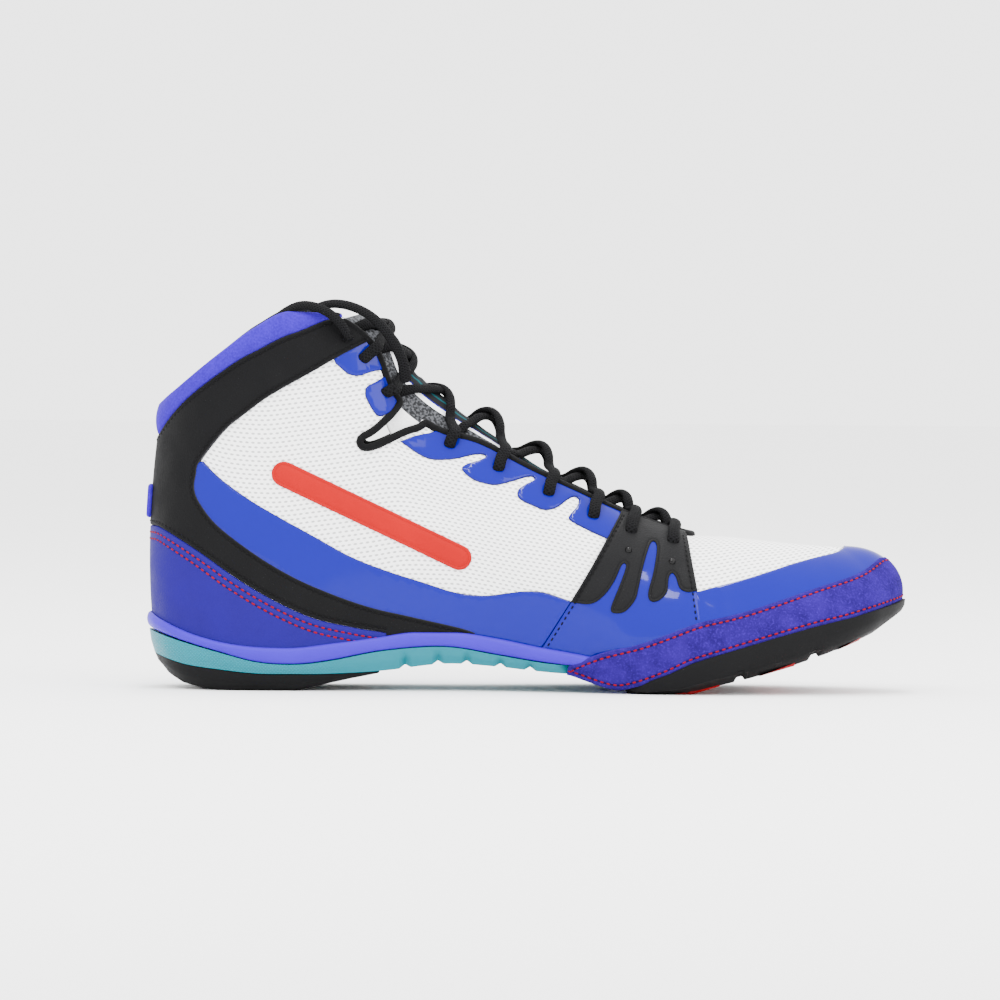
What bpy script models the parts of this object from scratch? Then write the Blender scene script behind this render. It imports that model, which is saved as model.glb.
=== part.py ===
"""Left wrestling shoe, built as separate named solids in metres, +Z up, toe along +X.

The origin lies on the floor in the middle of the heel's flat spot. The medial side faces -Y.
Tables hold shares of the shoe's length (x), of its ball width (y) and of its shaft height (z).
"""
import math
from collections import namedtuple

import bmesh
import bpy
from mathutils import Vector

# Driving sizes
SHOE_LENGTH = 0.290
BALL_WIDTH = 0.098
SHAFT_HEIGHT = 0.1435
HEEL_REST = 0.145
UPPER_WALL = 0.0020
LAYER_GAP = 0.00035
SEAM_GAP = 0.00045
FOOT_GAP = 0.00045
SOLE_GAP = 0.0003
PATENT_THICKNESS = 0.0009
COUNTER_THICKNESS = 0.0013
STRAP_THICKNESS = 0.0014
SUEDE_THICKNESS = 0.0013
CAGE_THICKNESS = 0.0012
COLLAR_THICKNESS = 0.0024
BAR_THICKNESS = 0.0010
BAR_WIDTH = 0.0095
BAND_PROUD = 0.0028
CUP_WALL = 0.0023
OUTSOLE_THICKNESS = 0.0032
INSOLE_THICKNESS = 0.0030
TONGUE_THICKNESS = 0.0030
TONGUE_DEPTH = 0.0029
LACE_WIDTH = 0.0046
LACE_THICKNESS = 0.0026
LACE_GAP = 0.00025
GROOVE_WIDTH = 0.0030
GROOVE_DEPTH = 0.0016
ARCH_NOTCH_DEPTH = 0.0008
BAND_ROUNDING = 0.0006
MIDSOLE_TUCK = (0.0008, 0.0016, 0.0034, 0.0048)
REAR_SOLE_PROUD = (0.0020, 0.0014, 0.0)
REAR_SOLE_TUCK = 0.0042
HEEL_PAD_TUCK = (0.0004, 0.0016, 0.0050)
INSOLE_INSET = 0.0040
INSOLE_DRAFT = 0.0004
CUP_ROOT = 0.0005
CUP_LIP = 0.0004
CUP_DRAFT = 0.8
TREAD_INSET = 0.0060
TAIL_INSET = 0.0042
TAIL_HEIGHT = 0.0016
STRAND_CLEARANCE = 0.0004
STRAND_LIFT = 0.0006
STRAND_BRIDGE = 0.0030

# How finely the curved forms are faceted
STEPS_PER_RIB = 2
ROWS_UP = 7
CURVE_STEPS = 2
LACE_SIDES = 6

UP = Vector((0.0, 0.0, 1.0))

# Ribs of the last, heel to toe: each runs from the foot line up to the collar, throat or ridge
Rib = namedtuple("Rib", "foot_x foot_in foot_out foot_z top_x top_half top_mid top_z "
                        "low_out low_up high_out high_drop")
RIBS = (
    Rib(0.010, 0.000, 0.000, 0.206, 0.022, 0.000, 0.000, 0.749, 0.022, 0.164, 0.036, 0.157),
    Rib(0.028, 0.173, 0.179, 0.185, 0.036, 0.117, 0.000, 0.777, 0.022, 0.170, 0.015, 0.175),
    Rib(0.069, 0.270, 0.281, 0.150, 0.062, 0.209, 0.000, 0.826, 0.020, 0.180, -0.010, 0.200),
    Rib(0.124, 0.314, 0.327, 0.125, 0.097, 0.265, 0.000, 0.884, 0.015, 0.190, -0.020, 0.220),
    Rib(0.186, 0.311, 0.337, 0.118, 0.141, 0.286, 0.000, 0.950, 0.015, 0.220, -0.010, 0.260),
    Rib(0.248, 0.291, 0.347, 0.131, 0.190, 0.281, 0.000, 0.995, 0.020, 0.250, 0.000, 0.280),
    Rib(0.303, 0.270, 0.352, 0.146, 0.245, 0.240, 0.000, 0.992, 0.025, 0.260, 0.030, 0.260),
    Rib(0.355, 0.253, 0.357, 0.160, 0.298, 0.189, 0.000, 0.920, 0.030, 0.250, 0.060, 0.220),
    Rib(0.407, 0.248, 0.367, 0.160, 0.326, 0.168, -0.003, 0.791, 0.035, 0.220, 0.090, 0.170),
    Rib(0.462, 0.260, 0.388, 0.146, 0.379, 0.153, -0.008, 0.702, 0.040, 0.200, 0.110, 0.130),
    Rib(0.517, 0.294, 0.418, 0.125, 0.438, 0.143, -0.014, 0.664, 0.045, 0.190, 0.130, 0.100),
    Rib(0.572, 0.342, 0.454, 0.107, 0.507, 0.133, -0.020, 0.592, 0.045, 0.180, 0.150, 0.080),
    Rib(0.628, 0.388, 0.483, 0.084, 0.572, 0.122, -0.028, 0.529, 0.045, 0.170, 0.170, 0.060),
    Rib(0.683, 0.421, 0.493, 0.066, 0.634, 0.107, -0.036, 0.470, 0.045, 0.160, 0.190, 0.040),
    Rib(0.734, 0.432, 0.480, 0.073, 0.700, 0.077, -0.044, 0.424, 0.045, 0.145, 0.210, 0.020),
    Rib(0.772, 0.429, 0.459, 0.089, 0.724, 0.000, -0.050, 0.415, 0.045, 0.130, 0.230, 0.000),
    Rib(0.814, 0.418, 0.438, 0.112, 0.766, 0.000, -0.053, 0.411, 0.040, 0.115, 0.220, 0.000),
    Rib(0.862, 0.398, 0.390, 0.139, 0.814, 0.000, -0.055, 0.401, 0.035, 0.100, 0.190, 0.000),
    Rib(0.912, 0.350, 0.318, 0.174, 0.859, 0.000, -0.054, 0.393, 0.030, 0.085, 0.160, 0.000),
    Rib(0.960, 0.252, 0.196, 0.213, 0.897, 0.000, -0.052, 0.387, 0.025, 0.080, 0.130, 0.000),
    Rib(0.992, 0.048, -0.048, 0.246, 0.924, 0.000, -0.050, 0.383, 0.025, 0.075, 0.130, 0.000),
)
TOE = len(RIBS) - 1
RING = 2 * TOE

# Edges seen from the side, rear to front, as (x, z)
COLLAR_LINE = ((-0.020, 0.630), (0.011, 0.643), (0.021, 0.686), (0.037, 0.733), (0.061, 0.783),
               (0.090, 0.829), (0.118, 0.870), (0.147, 0.902), (0.176, 0.930), (0.201, 0.951),
               (0.229, 0.977), (0.245, 1.010))
STRAP_INNER = ((0.420, 0.168), (0.343, 0.202), (0.294, 0.225), (0.245, 0.259), (0.196, 0.302),
               (0.147, 0.360), (0.098, 0.434), (0.074, 0.493), (0.066, 0.532), (0.068, 0.571),
               (0.073, 0.607), (0.104, 0.688), (0.133, 0.737), (0.161, 0.779), (0.201, 0.826),
               (0.225, 0.854), (0.248, 0.881), (0.287, 0.923))
COUNTER_LINE = ((-0.020, 0.436), (0.008, 0.432), (0.025, 0.424), (0.074, 0.364), (0.123, 0.295),
                (0.172, 0.238), (0.221, 0.194), (0.270, 0.171), (0.290, 0.165))
PATENT_LINE = ((0.076, 0.606), (0.098, 0.562), (0.135, 0.509), (0.172, 0.465), (0.221, 0.411),
               (0.270, 0.357), (0.318, 0.319), (0.367, 0.288), (0.398, 0.268), (0.420, 0.259),
               (0.448, 0.256), (0.478, 0.264), (0.499, 0.269), (0.525, 0.266), (0.559, 0.244))
TOE_CAP_LINE = ((0.724, 0.272), (0.782, 0.302), (0.814, 0.321), (0.846, 0.341), (0.878, 0.358),
                (0.907, 0.371), (0.921, 0.387))
GUARD_LINE = ((0.556, 0.070), (0.564, 0.081), (0.599, 0.110), (0.645, 0.133), (0.686, 0.162),
              (0.726, 0.192), (0.767, 0.210), (0.807, 0.233), (0.878, 0.280), (0.934, 0.316),
              (0.964, 0.355))
GUARD_FOOT = ((0.556, 0.050), (0.613, 0.014), (0.645, 0.021), (0.686, 0.052), (0.716, 0.081),
              (0.747, 0.101), (0.827, 0.149), (0.878, 0.178), (0.926, 0.202), (0.982, 0.239),
              (1.000, 0.254), (1.020, 0.262))
CAGE_REAR = ((0.506, 0.075), (0.524, 0.128), (0.559, 0.242), (0.590, 0.351), (0.622, 0.468),
             (0.632, 0.505))
CAGE_FRONT = ((0.728, 0.195), (0.723, 0.272), (0.710, 0.406), (0.706, 0.460))

# Outlines that close on themselves, as (x, z)
NOTCH = ((0.281, 0.655), (0.290, 0.650), (0.311, 0.666), (0.338, 0.693), (0.359, 0.705),
         (0.395, 0.730), (0.380, 0.820), (0.342, 0.775), (0.322, 0.725), (0.298, 0.682),
         (0.284, 0.668))
EYESTAY_TOP = ((0.246, 0.872), (0.264, 0.893), (0.288, 0.915), (0.307, 0.935), (0.345, 0.880),
               (0.350, 0.770), (0.323, 0.742), (0.304, 0.726), (0.289, 0.771), (0.286, 0.790),
               (0.289, 0.803), (0.309, 0.830), (0.303, 0.845), (0.293, 0.841), (0.279, 0.833),
               (0.267, 0.836), (0.260, 0.845))
EYESTAY_MID = ((0.333, 0.661), (0.359, 0.625), (0.379, 0.612), (0.406, 0.615), (0.421, 0.613),
               (0.416, 0.597), (0.430, 0.560), (0.457, 0.547), (0.481, 0.557), (0.490, 0.543),
               (0.491, 0.510), (0.514, 0.489), (0.535, 0.484), (0.552, 0.507), (0.562, 0.488),
               (0.556, 0.456), (0.575, 0.434), (0.602, 0.411), (0.613, 0.458), (0.622, 0.520),
               (0.540, 0.640), (0.440, 0.730), (0.404, 0.715), (0.392, 0.682), (0.372, 0.684),
               (0.352, 0.676))
ARCH_NOTCHES = (0.342, 0.385, 0.423, 0.467, 0.506)
FLEX_GROOVES = (0.779, 0.876)
BAR_ENDS = ((0.182, 0.575), (0.412, 0.356))

# Heights of the sole's layers under a place along the shoe
SoleRow = namedtuple("SoleRow", "x band_bottom rear_bottom")
SOLE_ROWS = (
    SoleRow(0.000, 0.165, 0.101), SoleRow(0.050, 0.132, 0.070), SoleRow(0.098, 0.105, 0.057),
    SoleRow(0.147, 0.079, 0.047), SoleRow(0.197, 0.073, 0.046), SoleRow(0.245, 0.084, 0.047),
    SoleRow(0.313, 0.110, 0.055), SoleRow(0.393, 0.121, 0.074), SoleRow(0.459, 0.102, 0.068),
    SoleRow(0.509, 0.086, 0.058), SoleRow(0.548, 0.077, 0.052), SoleRow(0.640, 0.062, 0.040),
)
PAD_BOTTOM = ((-0.010, 0.090), (0.015, 0.056), (0.050, 0.018), (0.078, 0.004), (0.094, 0.000),
              (0.200, 0.000), (0.215, 0.008), (0.269, 0.032), (0.320, 0.052))
TREAD_BOTTOM = ((0.600, 0.012), (0.628, 0.002), (0.640, 0.000), (0.712, 0.000), (0.752, 0.024),
                (0.793, 0.044), (0.851, 0.079), (0.894, 0.109), (0.921, 0.131), (0.955, 0.160),
                (0.974, 0.184), (0.990, 0.210), (1.010, 0.232))
TongueRow = namedtuple("TongueRow", "rib crown")
TONGUE_ROWS = (TongueRow(6.2, 0.080), TongueRow(7.0, 0.105), TongueRow(8.0, 0.135),
               TongueRow(9.0, 0.130), TongueRow(10.0, 0.065), TongueRow(11.0, 0.040),
               TongueRow(12.0, 0.028), TongueRow(13.0, 0.018), TongueRow(14.4, 0.008))
EYELET_RIBS = (6.45, 6.95, 7.70, 9.20, 10.20, 11.20, 12.10, 12.95, 13.75)
EYELET_SHARE = 0.90
STRAND_RISE = (EYELET_SHARE - 0.02, 0.985)
STRAND_CROSSING = (0.24, 0.40, 0.56, 0.72, 0.88)
TONGUE_MARGINS = (0.88, 0.94)
THROAT_SHARE = 0.999
TUCK_SPAN = (0.525, 0.552)
CUP_SPAN = (0.672, 0.703)
OUTSOLE_REAR = 0.600
REAR_SOLE_END = 0.590
HEEL_PAD_END = 0.310

# Corners that close the panels' outlines, outside the upper's own edges
BELOW_FOOT = 0.02
ABOVE_TOP = 1.2
BEHIND_HEEL = -0.02
PAST_TOE = 1.02
COUNTER_TOE_X = 0.290
STRAP_FOOT = (0.292, 0.422)
STRAP_TOP = ((0.283, 0.945), (0.262, 0.990), (0.250, 1.05))
COLLAR_FRONT = 0.245
MUDGUARD_REAR = 0.424
CAGE_FOOT = 0.506
TOE_CAP_TOP = ((0.921, 0.5), (0.966, 0.5))
GUARD_TOP = ((0.964, 0.5), (PAST_TOE, 0.5))

# Free lace ends, from the top crossing over the collar and into the opening
LACE_END_REAR = ((0.0345, -0.0268, 0.1350), (0.0312, -0.0288, 0.1405), (0.0250, -0.0292, 0.1450),
                 (0.0175, -0.0278, 0.1466), (0.0110, -0.0256, 0.1442), (0.0060, -0.0222, 0.1400),
                 (0.0030, -0.0195, 0.1350), (0.0020, -0.0180, 0.1285))
LACE_END_FRONT = ((0.0566, -0.0200, 0.1185), (0.0550, -0.0212, 0.1265), (0.0505, -0.0224, 0.1350),
                  (0.0440, -0.0230, 0.1420), (0.0365, -0.0228, 0.1460), (0.0285, -0.0206, 0.1472),
                  (0.0215, -0.0168, 0.1448), (0.0165, -0.0130, 0.1380), (0.0150, -0.0115, 0.1290))

# Finishes: colour, roughness
FINISHES = {
    "mesh": ((0.86, 0.86, 0.86), 0.80),
    "patent": ((0.045, 0.060, 0.680), 0.12),
    "suede": ((0.075, 0.055, 0.500), 0.85),
    "counter": ((0.070, 0.075, 0.520), 0.60),
    "band": ((0.110, 0.110, 0.600), 0.45),
    "turquoise": ((0.000, 0.450, 0.520), 0.50),
    "black_rubber": ((0.025, 0.025, 0.028), 0.60),
    "black_strap": ((0.030, 0.030, 0.032), 0.65),
    "collar_knit": ((0.090, 0.070, 0.660), 0.90),
    "tongue_cloth": ((0.200, 0.205, 0.220), 0.90),
    "lace": ((0.014, 0.014, 0.016), 0.90),
    "red": ((0.780, 0.025, 0.030), 0.50),
    "lining": ((0.020, 0.020, 0.022), 0.95),
}


def clear_scene():
    """Remove whatever the opened file holds."""
    for item in list(bpy.data.objects):
        bpy.data.objects.remove(item, do_unlink=True)


def make_collection(name):
    """A collection of its own, linked to the scene."""
    collection = bpy.data.collections.new(name)
    bpy.context.scene.collection.children.link(collection)
    return collection


clear_scene()
PARTS = make_collection("wrestling_shoe")
CUTTERS = make_collection("cutters")


def finish_of(name):
    """The Principled material for one finish, made once."""
    if name in bpy.data.materials:
        return bpy.data.materials[name]
    colour, roughness = FINISHES[name]
    material = bpy.data.materials.new(name)
    material.use_nodes = True
    shader = material.node_tree.nodes["Principled BSDF"]
    shader.inputs["Base Color"].default_value = (*colour, 1.0)
    shader.inputs["Roughness"].default_value = roughness
    shader.inputs["Metallic"].default_value = 0.0
    return material


# Places from shares


def along(share):
    """World x of a share of the shoe's length."""
    return (share - HEEL_REST) * SHOE_LENGTH


def side_view(points):
    """World (x, z) pairs of a line given in shares."""
    return [Vector((along(x), z * SHAFT_HEIGHT)) for x, z in points]


def limited_slope(before, after):
    """Slope at a station, kept small enough that the curve never overshoots."""
    if before * after <= 0.0:
        return 0.0
    size = min(abs(before + after) / 2.0, 3.0 * abs(before), 3.0 * abs(after))
    return math.copysign(size, before)


def hermite(start, end, slope_start, slope_end, share):
    """Cubic from start to end with the given slopes."""
    square = share * share
    cube = square * share
    return (start * (2.0 * cube - 3.0 * square + 1.0)
            + slope_start * (cube - 2.0 * square + share)
            + end * (3.0 * square - 2.0 * cube)
            + slope_end * (cube - square))


def on_ring(values, place):
    """Smooth value at a place on a closed ring of stations."""
    index = math.floor(place)
    a, b, c, d = (values[(index + k) % len(values)] for k in (-1, 0, 1, 2))
    return hermite(b, c, limited_slope(b - a, c - b), limited_slope(c - b, d - c), place - index)


def height_on(points, x):
    """Height of a side line at world x, level past its ends."""
    line = side_view(points)
    if x <= line[0].x:
        return line[0].y
    for start, end in zip(line, line[1:]):
        if x <= end.x:
            share = (x - start.x) / (end.x - start.x)
            return start.y + (end.y - start.y) * share
    return line[-1].y


def smooth_line(points, steps=CURVE_STEPS):
    """A rounder line through the same world points."""
    line = []
    last = len(points) - 1
    for index in range(last):
        a = points[max(index - 1, 0)]
        b = points[index]
        c = points[index + 1]
        d = points[min(index + 2, last)]
        for step in range(steps):
            share = step / steps
            line.append(hermite(b, c, (c - a) / 2.0, (d - b) / 2.0, share))
    line.append(points[last])
    return line


def moved_left(line, distance):
    """The line moved sideways, to the left of its own direction."""
    moved = []
    last = len(line) - 1
    for index, point in enumerate(line):
        heading = (line[min(index + 1, last)] - line[max(index - 1, 0)]).normalized()
        moved.append(point + Vector((-heading.y, heading.x)) * distance)
    return moved


# The surface of the last


def around(medial, lateral):
    """One closed list: heel to toe on the medial side, then back on the lateral side."""
    return list(medial) + list(lateral)[-2:0:-1]


def both_sides(name):
    """A closed list of one column that is the same on both sides."""
    column = [getattr(rib, name) for rib in RIBS]
    return around(column, column)


FOOT_X = both_sides("foot_x")
FOOT_Y = around([-rib.foot_in for rib in RIBS], [rib.foot_out for rib in RIBS])
FOOT_Z = both_sides("foot_z")
TOP_X = both_sides("top_x")
TOP_MID = both_sides("top_mid")
TOP_HALF = around([-rib.top_half for rib in RIBS], [rib.top_half for rib in RIBS])
TOP_Z = both_sides("top_z")
LOW_OUT = both_sides("low_out")
LOW_UP = both_sides("low_up")
HIGH_OUT = both_sides("high_out")
HIGH_DROP = both_sides("high_drop")


def foot_point(place):
    """Point of the foot line, where the upper meets the sole."""
    return Vector((along(on_ring(FOOT_X, place)), on_ring(FOOT_Y, place) * BALL_WIDTH,
                   on_ring(FOOT_Z, place) * SHAFT_HEIGHT))


def top_point(place):
    """Point of the collar, throat edge or ridge."""
    y = (on_ring(TOP_MID, place) + on_ring(TOP_HALF, place)) * BALL_WIDTH
    return Vector((along(on_ring(TOP_X, place)), y, on_ring(TOP_Z, place) * SHAFT_HEIGHT))


def outward(place):
    """Level direction out of the shoe, square to the foot line."""
    step = 0.05
    ahead = foot_point(place + step) - foot_point(place - step)
    return Vector((ahead.y, -ahead.x, 0.0)).normalized()


RIB_CACHE = {}


def rib_points(place):
    """The four points that steer one rib."""
    key = round(place % RING, 5)
    if key not in RIB_CACHE:
        out = outward(place) * BALL_WIDTH
        foot = foot_point(place)
        top = top_point(place)
        low = foot + out * on_ring(LOW_OUT, place) + UP * on_ring(LOW_UP, place) * SHAFT_HEIGHT
        high = top + out * on_ring(HIGH_OUT, place) - UP * on_ring(HIGH_DROP, place) * SHAFT_HEIGHT
        RIB_CACHE[key] = (foot, low, high, top)
    return RIB_CACHE[key]


def surface(place, share):
    """Point of the last: place runs round the shoe, share runs up the rib."""
    foot, low, high, top = rib_points(place)
    rest = 1.0 - share
    return (foot * rest ** 3 + low * 3.0 * rest * rest * share
            + high * 3.0 * rest * share * share + top * share ** 3)


def surface_normal(place, share):
    """Direction out of the last's surface."""
    step = 0.02
    round_way = surface(place + step, share) - surface(place - step, share)
    upward = surface(place, share + step) - surface(place, share - step)
    return round_way.cross(upward).normalized()


def skin(place, share, distance):
    """Point at a distance from the last's surface, the same from both sides of the ridge."""
    point = surface(place, share) + surface_normal(place, share) * distance
    if share == 1.0 and abs(on_ring(TOP_HALF, place)) < 1e-9 and on_ring(FOOT_X, place) > 0.5:
        other = RING - place
        twin = surface(other, share) + surface_normal(other, share) * distance
        point = (point + twin) / 2.0
    return point


def share_at_height(place, height, lowest=-0.25, highest=0.6):
    """How far up a rib it reaches a height."""
    for _ in range(30):
        middle = (lowest + highest) / 2.0
        if surface(place, middle).z < height:
            lowest = middle
        else:
            highest = middle
    return (lowest + highest) / 2.0


# Meshes


def add_face(mesh, corners):
    """Add a face, leaving out corners that coincide."""
    kept = [corner for index, corner in enumerate(corners) if corner is not corners[index - 1]]
    if len(set(kept)) >= 3:
        mesh.faces.new(kept)


class Points:
    """Vertices of one mesh, one for each place."""

    def __init__(self, mesh):
        self.mesh = mesh
        self.seen = {}

    def at(self, point):
        """The vertex at a point."""
        key = tuple(round(value, 7) for value in point)
        if key not in self.seen:
            self.seen[key] = self.mesh.verts.new(point)
        return self.seen[key]


def make_object(name, mesh, finish, collection=None):
    """Turn a bmesh into a named object with outward faces."""
    bmesh.ops.recalc_face_normals(mesh, faces=mesh.faces)
    data = bpy.data.meshes.new(name)
    mesh.to_mesh(data)
    mesh.free()
    data.shade_smooth()
    data.set_sharp_from_angle(angle=math.radians(35.0))
    item = bpy.data.objects.new(name, data)
    (collection or PARTS).objects.link(item)
    if finish:
        data.materials.append(finish_of(finish))
    return item


def closed_wall(name, outer, inner, finish, ring=False):
    """One closed wall between two matching grids of points."""
    mesh = bmesh.new()
    points = Points(mesh)
    partner = {}
    count = len(outer)
    for i in range(count if ring else count - 1):
        j = (i + 1) % count
        for k in range(len(outer[0]) - 1):
            for corners in (((i, k), (j, k), (j, k + 1)), ((i, k), (j, k + 1), (i, k + 1))):
                add_face(mesh, [points.at(outer[a][b]) for a, b in corners])
                add_face(mesh, [points.at(inner[a][b]) for a, b in reversed(corners)])
                for a, b in corners:
                    partner[points.at(outer[a][b])] = points.at(inner[a][b])
    rims = [edge for edge in mesh.edges if len(edge.link_faces) == 1 and edge.verts[0] in partner]
    for edge in rims:
        first, second = edge.verts
        add_face(mesh, [second, first, partner[first], partner[second]])
    return make_object(name, mesh, finish)


def closed_loft(name, loops, finish, cap_first, cap_last):
    """A solid through closed loops; an end that folds shut needs no cap."""
    mesh = bmesh.new()
    points = Points(mesh)
    rings = [[points.at(point) for point in loop] for loop in loops]
    count = len(rings[0])
    for near, far in zip(rings, rings[1:]):
        for k in range(count):
            n = (k + 1) % count
            add_face(mesh, [near[k], near[n], far[n], far[k]])
    if cap_first:
        add_face(mesh, rings[0][::-1])
    if cap_last:
        add_face(mesh, rings[-1])
    return make_object(name, mesh, finish)


def side_prism(name, outline):
    """A cutter: an outline seen from the side, as deep as the shoe is wide."""
    mesh = bmesh.new()
    depth = 2.0 * BALL_WIDTH
    near = [mesh.verts.new((point.x, -depth, point.y)) for point in outline]
    face = mesh.faces.new(near)
    grown = bmesh.ops.extrude_face_region(mesh, geom=[face])
    moved = [item for item in grown["geom"] if isinstance(item, bmesh.types.BMVert)]
    bmesh.ops.translate(mesh, verts=moved, vec=(0.0, 2.0 * depth, 0.0))
    cutter = make_object(name + "_cutter", mesh, None, CUTTERS)
    cutter.hide_render = True
    cutter.display_type = "WIRE"
    return cutter


def cut_with(item, cutter, operation):
    """Cut or trim an object with a cutter."""
    modifier = item.modifiers.new(operation.lower(), "BOOLEAN")
    modifier.operation = operation
    modifier.solver = "EXACT"
    modifier.object = cutter


def places_between(first, last):
    """Stations round the shoe on the upper's own grid."""
    count = round((last - first) * STEPS_PER_RIB)
    return [first + index / STEPS_PER_RIB for index in range(count + 1)]


def shares_up(lowest=0.0):
    """Shares up a rib on the upper's own grid, with two more rows where a panel tucks under it."""
    tucked_rows = [lowest, lowest / 2.0] if lowest < 0.0 else []
    return tucked_rows + [index / ROWS_UP for index in range(ROWS_UP + 1)]


def overlay(name, places, thickness, outline, finish, lowest=0.0):
    """A panel on the upper: a wall of its own surface, trimmed to an outline seen from the side."""
    shares = shares_up(lowest)
    grids = []
    for distance in (LAYER_GAP + thickness, LAYER_GAP):
        grids.append([[skin(place, share, distance) for share in shares] for place in places])
    panel = closed_wall(name, grids[0], grids[1], finish)
    cut_with(panel, side_prism(name, outline), "INTERSECT")
    return panel


# Upper


def build_upper():
    """The hollow upper, open at the collar, the throat and underneath, with its flex notches."""
    places = places_between(0, RING)[:-1]
    shares = shares_up()
    outer = [[skin(place, share, 0.0) for share in shares] for place in places]
    inner = [[skin(place, share, -UPPER_WALL) for share in shares] for place in places]
    upper = closed_wall("upper", outer, inner, "mesh", ring=True)
    notch = smooth_line(side_view(NOTCH + NOTCH[:1]), 1)[:-1]
    cut_with(upper, side_prism("notch", notch), "DIFFERENCE")


# Panels


def corner(x, z):
    """One world corner of an outline."""
    return side_view(((x, z),))[0]


def build_heel_panels():
    """Counter, ankle strap and padded collar, which all wrap round the heel."""
    counter_line = smooth_line(side_view(COUNTER_LINE))
    inner_line = smooth_line(side_view(STRAP_INNER))
    collar_line = smooth_line(side_view(COLLAR_LINE))
    counter = counter_line + [corner(COUNTER_TOE_X, BELOW_FOOT), corner(BEHIND_HEEL, BELOW_FOOT)]
    overlay("heel_counter", places_between(-8, 8), COUNTER_THICKNESS, counter, "counter")
    strap = (moved_left(counter_line, SEAM_GAP) + [corner(x, BELOW_FOOT) for x in STRAP_FOOT]
             + inner_line + [corner(x, z) for x, z in STRAP_TOP] + collar_line[::-1])
    overlay("ankle_strap", places_between(-10, 10), STRAP_THICKNESS, strap, "black_strap")
    collar = (moved_left(collar_line, SEAM_GAP)
              + [corner(COLLAR_FRONT, ABOVE_TOP), corner(BEHIND_HEEL, ABOVE_TOP)])
    overlay("collar_roll", places_between(-7, 7), COLLAR_THICKNESS, collar, "collar_knit")


def build_patent_panels(side, places):
    """Patent mudguard and lace cage of one side."""
    inner_line = smooth_line(side_view(STRAP_INNER))
    patent_line = smooth_line(side_view(PATENT_LINE))
    rear_line = smooth_line(side_view(CAGE_REAR))
    front_line = smooth_line(side_view(CAGE_FRONT))
    guard_line = smooth_line(side_view(GUARD_LINE))
    bend = [point for point in moved_left(inner_line, -SEAM_GAP)
            if point.y < side_view(PATENT_LINE)[0].y - SEAM_GAP]
    seam = [point for point in moved_left(rear_line, SEAM_GAP) if point.y < patent_line[-1].y]
    mudguard = bend + patent_line + seam[::-1] + [corner(MUDGUARD_REAR, BELOW_FOOT)]
    overlay("mudguard_" + side, places(1, 14), PATENT_THICKNESS, mudguard, "patent")
    low = [point for point in moved_left(guard_line, SEAM_GAP)
           if rear_line[0].x < point.x < front_line[0].x]
    cage = [corner(CAGE_FOOT, BELOW_FOOT)] + low + front_line + rear_line[::-1]
    overlay("lace_cage_" + side, places(8, 16), CAGE_THICKNESS, cage, "black_strap")


def build_toe_panels():
    """Patent toe cap and suede toe guard, which both wrap round the toe."""
    cap_line = smooth_line(side_view(TOE_CAP_LINE))
    guard_line = smooth_line(side_view(GUARD_LINE))
    front_line = moved_left(smooth_line(side_view(CAGE_FRONT)), -SEAM_GAP)
    rear = [point for point in front_line if point.y < cap_line[0].y]
    low = [point for point in moved_left(guard_line, SEAM_GAP) if point.x > rear[0].x]
    cap = cap_line + [corner(x, z) for x, z in TOE_CAP_TOP] + low[::-1] + rear
    overlay("toe_cap", places_between(12, 28), PATENT_THICKNESS, cap, "patent")
    foot_line = smooth_line(side_view(GUARD_FOOT))
    guard = guard_line + [corner(x, z) for x, z in GUARD_TOP] + foot_line[::-1]
    overlay("toe_guard", places_between(10, 30), SUEDE_THICKNESS, guard, "suede", lowest=-0.2)


def capsule(start, end, width, steps=5):
    """Outline of a bar with round ends."""
    heading = (end - start).normalized()
    first_angle = math.atan2(heading.y, heading.x) - math.pi / 2.0
    outline = []
    for centre, turn in ((end, 0.0), (start, math.pi)):
        for step in range(steps + 1):
            angle = first_angle + turn + math.pi * step / steps
            offset = Vector((math.cos(angle), math.sin(angle))) * width / 2.0
            outline.append(centre + offset)
    return outline


def build_side_trim(side, places):
    """Eyestay patches and the plain red bar of one side."""
    overlay("eyestay_top_" + side, places(4, 10), PATENT_THICKNESS, side_view(EYESTAY_TOP), "patent")
    overlay("eyestay_mid_" + side, places(6, 15), PATENT_THICKNESS, side_view(EYESTAY_MID), "patent")
    ends = side_view(BAR_ENDS)
    bar = capsule(ends[0], ends[1], BAR_WIDTH)
    overlay("side_bar_" + side, places(2, 11), BAR_THICKNESS, bar, "red")


# Sole


def sole_height(column, x):
    """Height of one layer's underside at world x."""
    return height_on([(row.x, getattr(row, column)) for row in SOLE_ROWS], x)


def tucked(x):
    """How far the sole's side has tucked in behind the suede guard, nought to one."""
    start, end = (along(share) for share in TUCK_SPAN)
    share = min(max((x - start) / (end - start), 0.0), 1.0)
    return share * share * (3.0 - 2.0 * share)


def sole_loop(place, sides, top_of, bottom_of, top_proud=None):
    """One closed section of a sole layer: medial side, underside, lateral side, top."""
    flanks = []
    for station in (place, RING - place):
        foot = foot_point(station)
        out = outward(station)
        flank = []
        for proud, height in sides:
            spread = proud(foot.x)
            point = foot + out * spread
            top = top_of(station)
            bottom = bottom_of(point.x)
            point.z = top + (bottom - top) * height
            flank.append(point)
        flanks.append(flank)
    medial, lateral = flanks
    under = (medial[-1] + lateral[-1]) / 2.0
    under.z = bottom_of(under.x)
    over = (medial[0] + lateral[0]) / 2.0
    return medial + [under] + lateral[::-1] + [over]


def fixed(value):
    """A spread that is the same all along."""
    return lambda x: value


def easing(rear, front):
    """A spread that changes where the sole tucks in behind the guard."""
    return lambda x: rear + (front - rear) * tucked(x)


def foot_top(lift):
    """Height of the foot line plus a lift."""
    return lambda station: foot_point(station).z + lift


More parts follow.
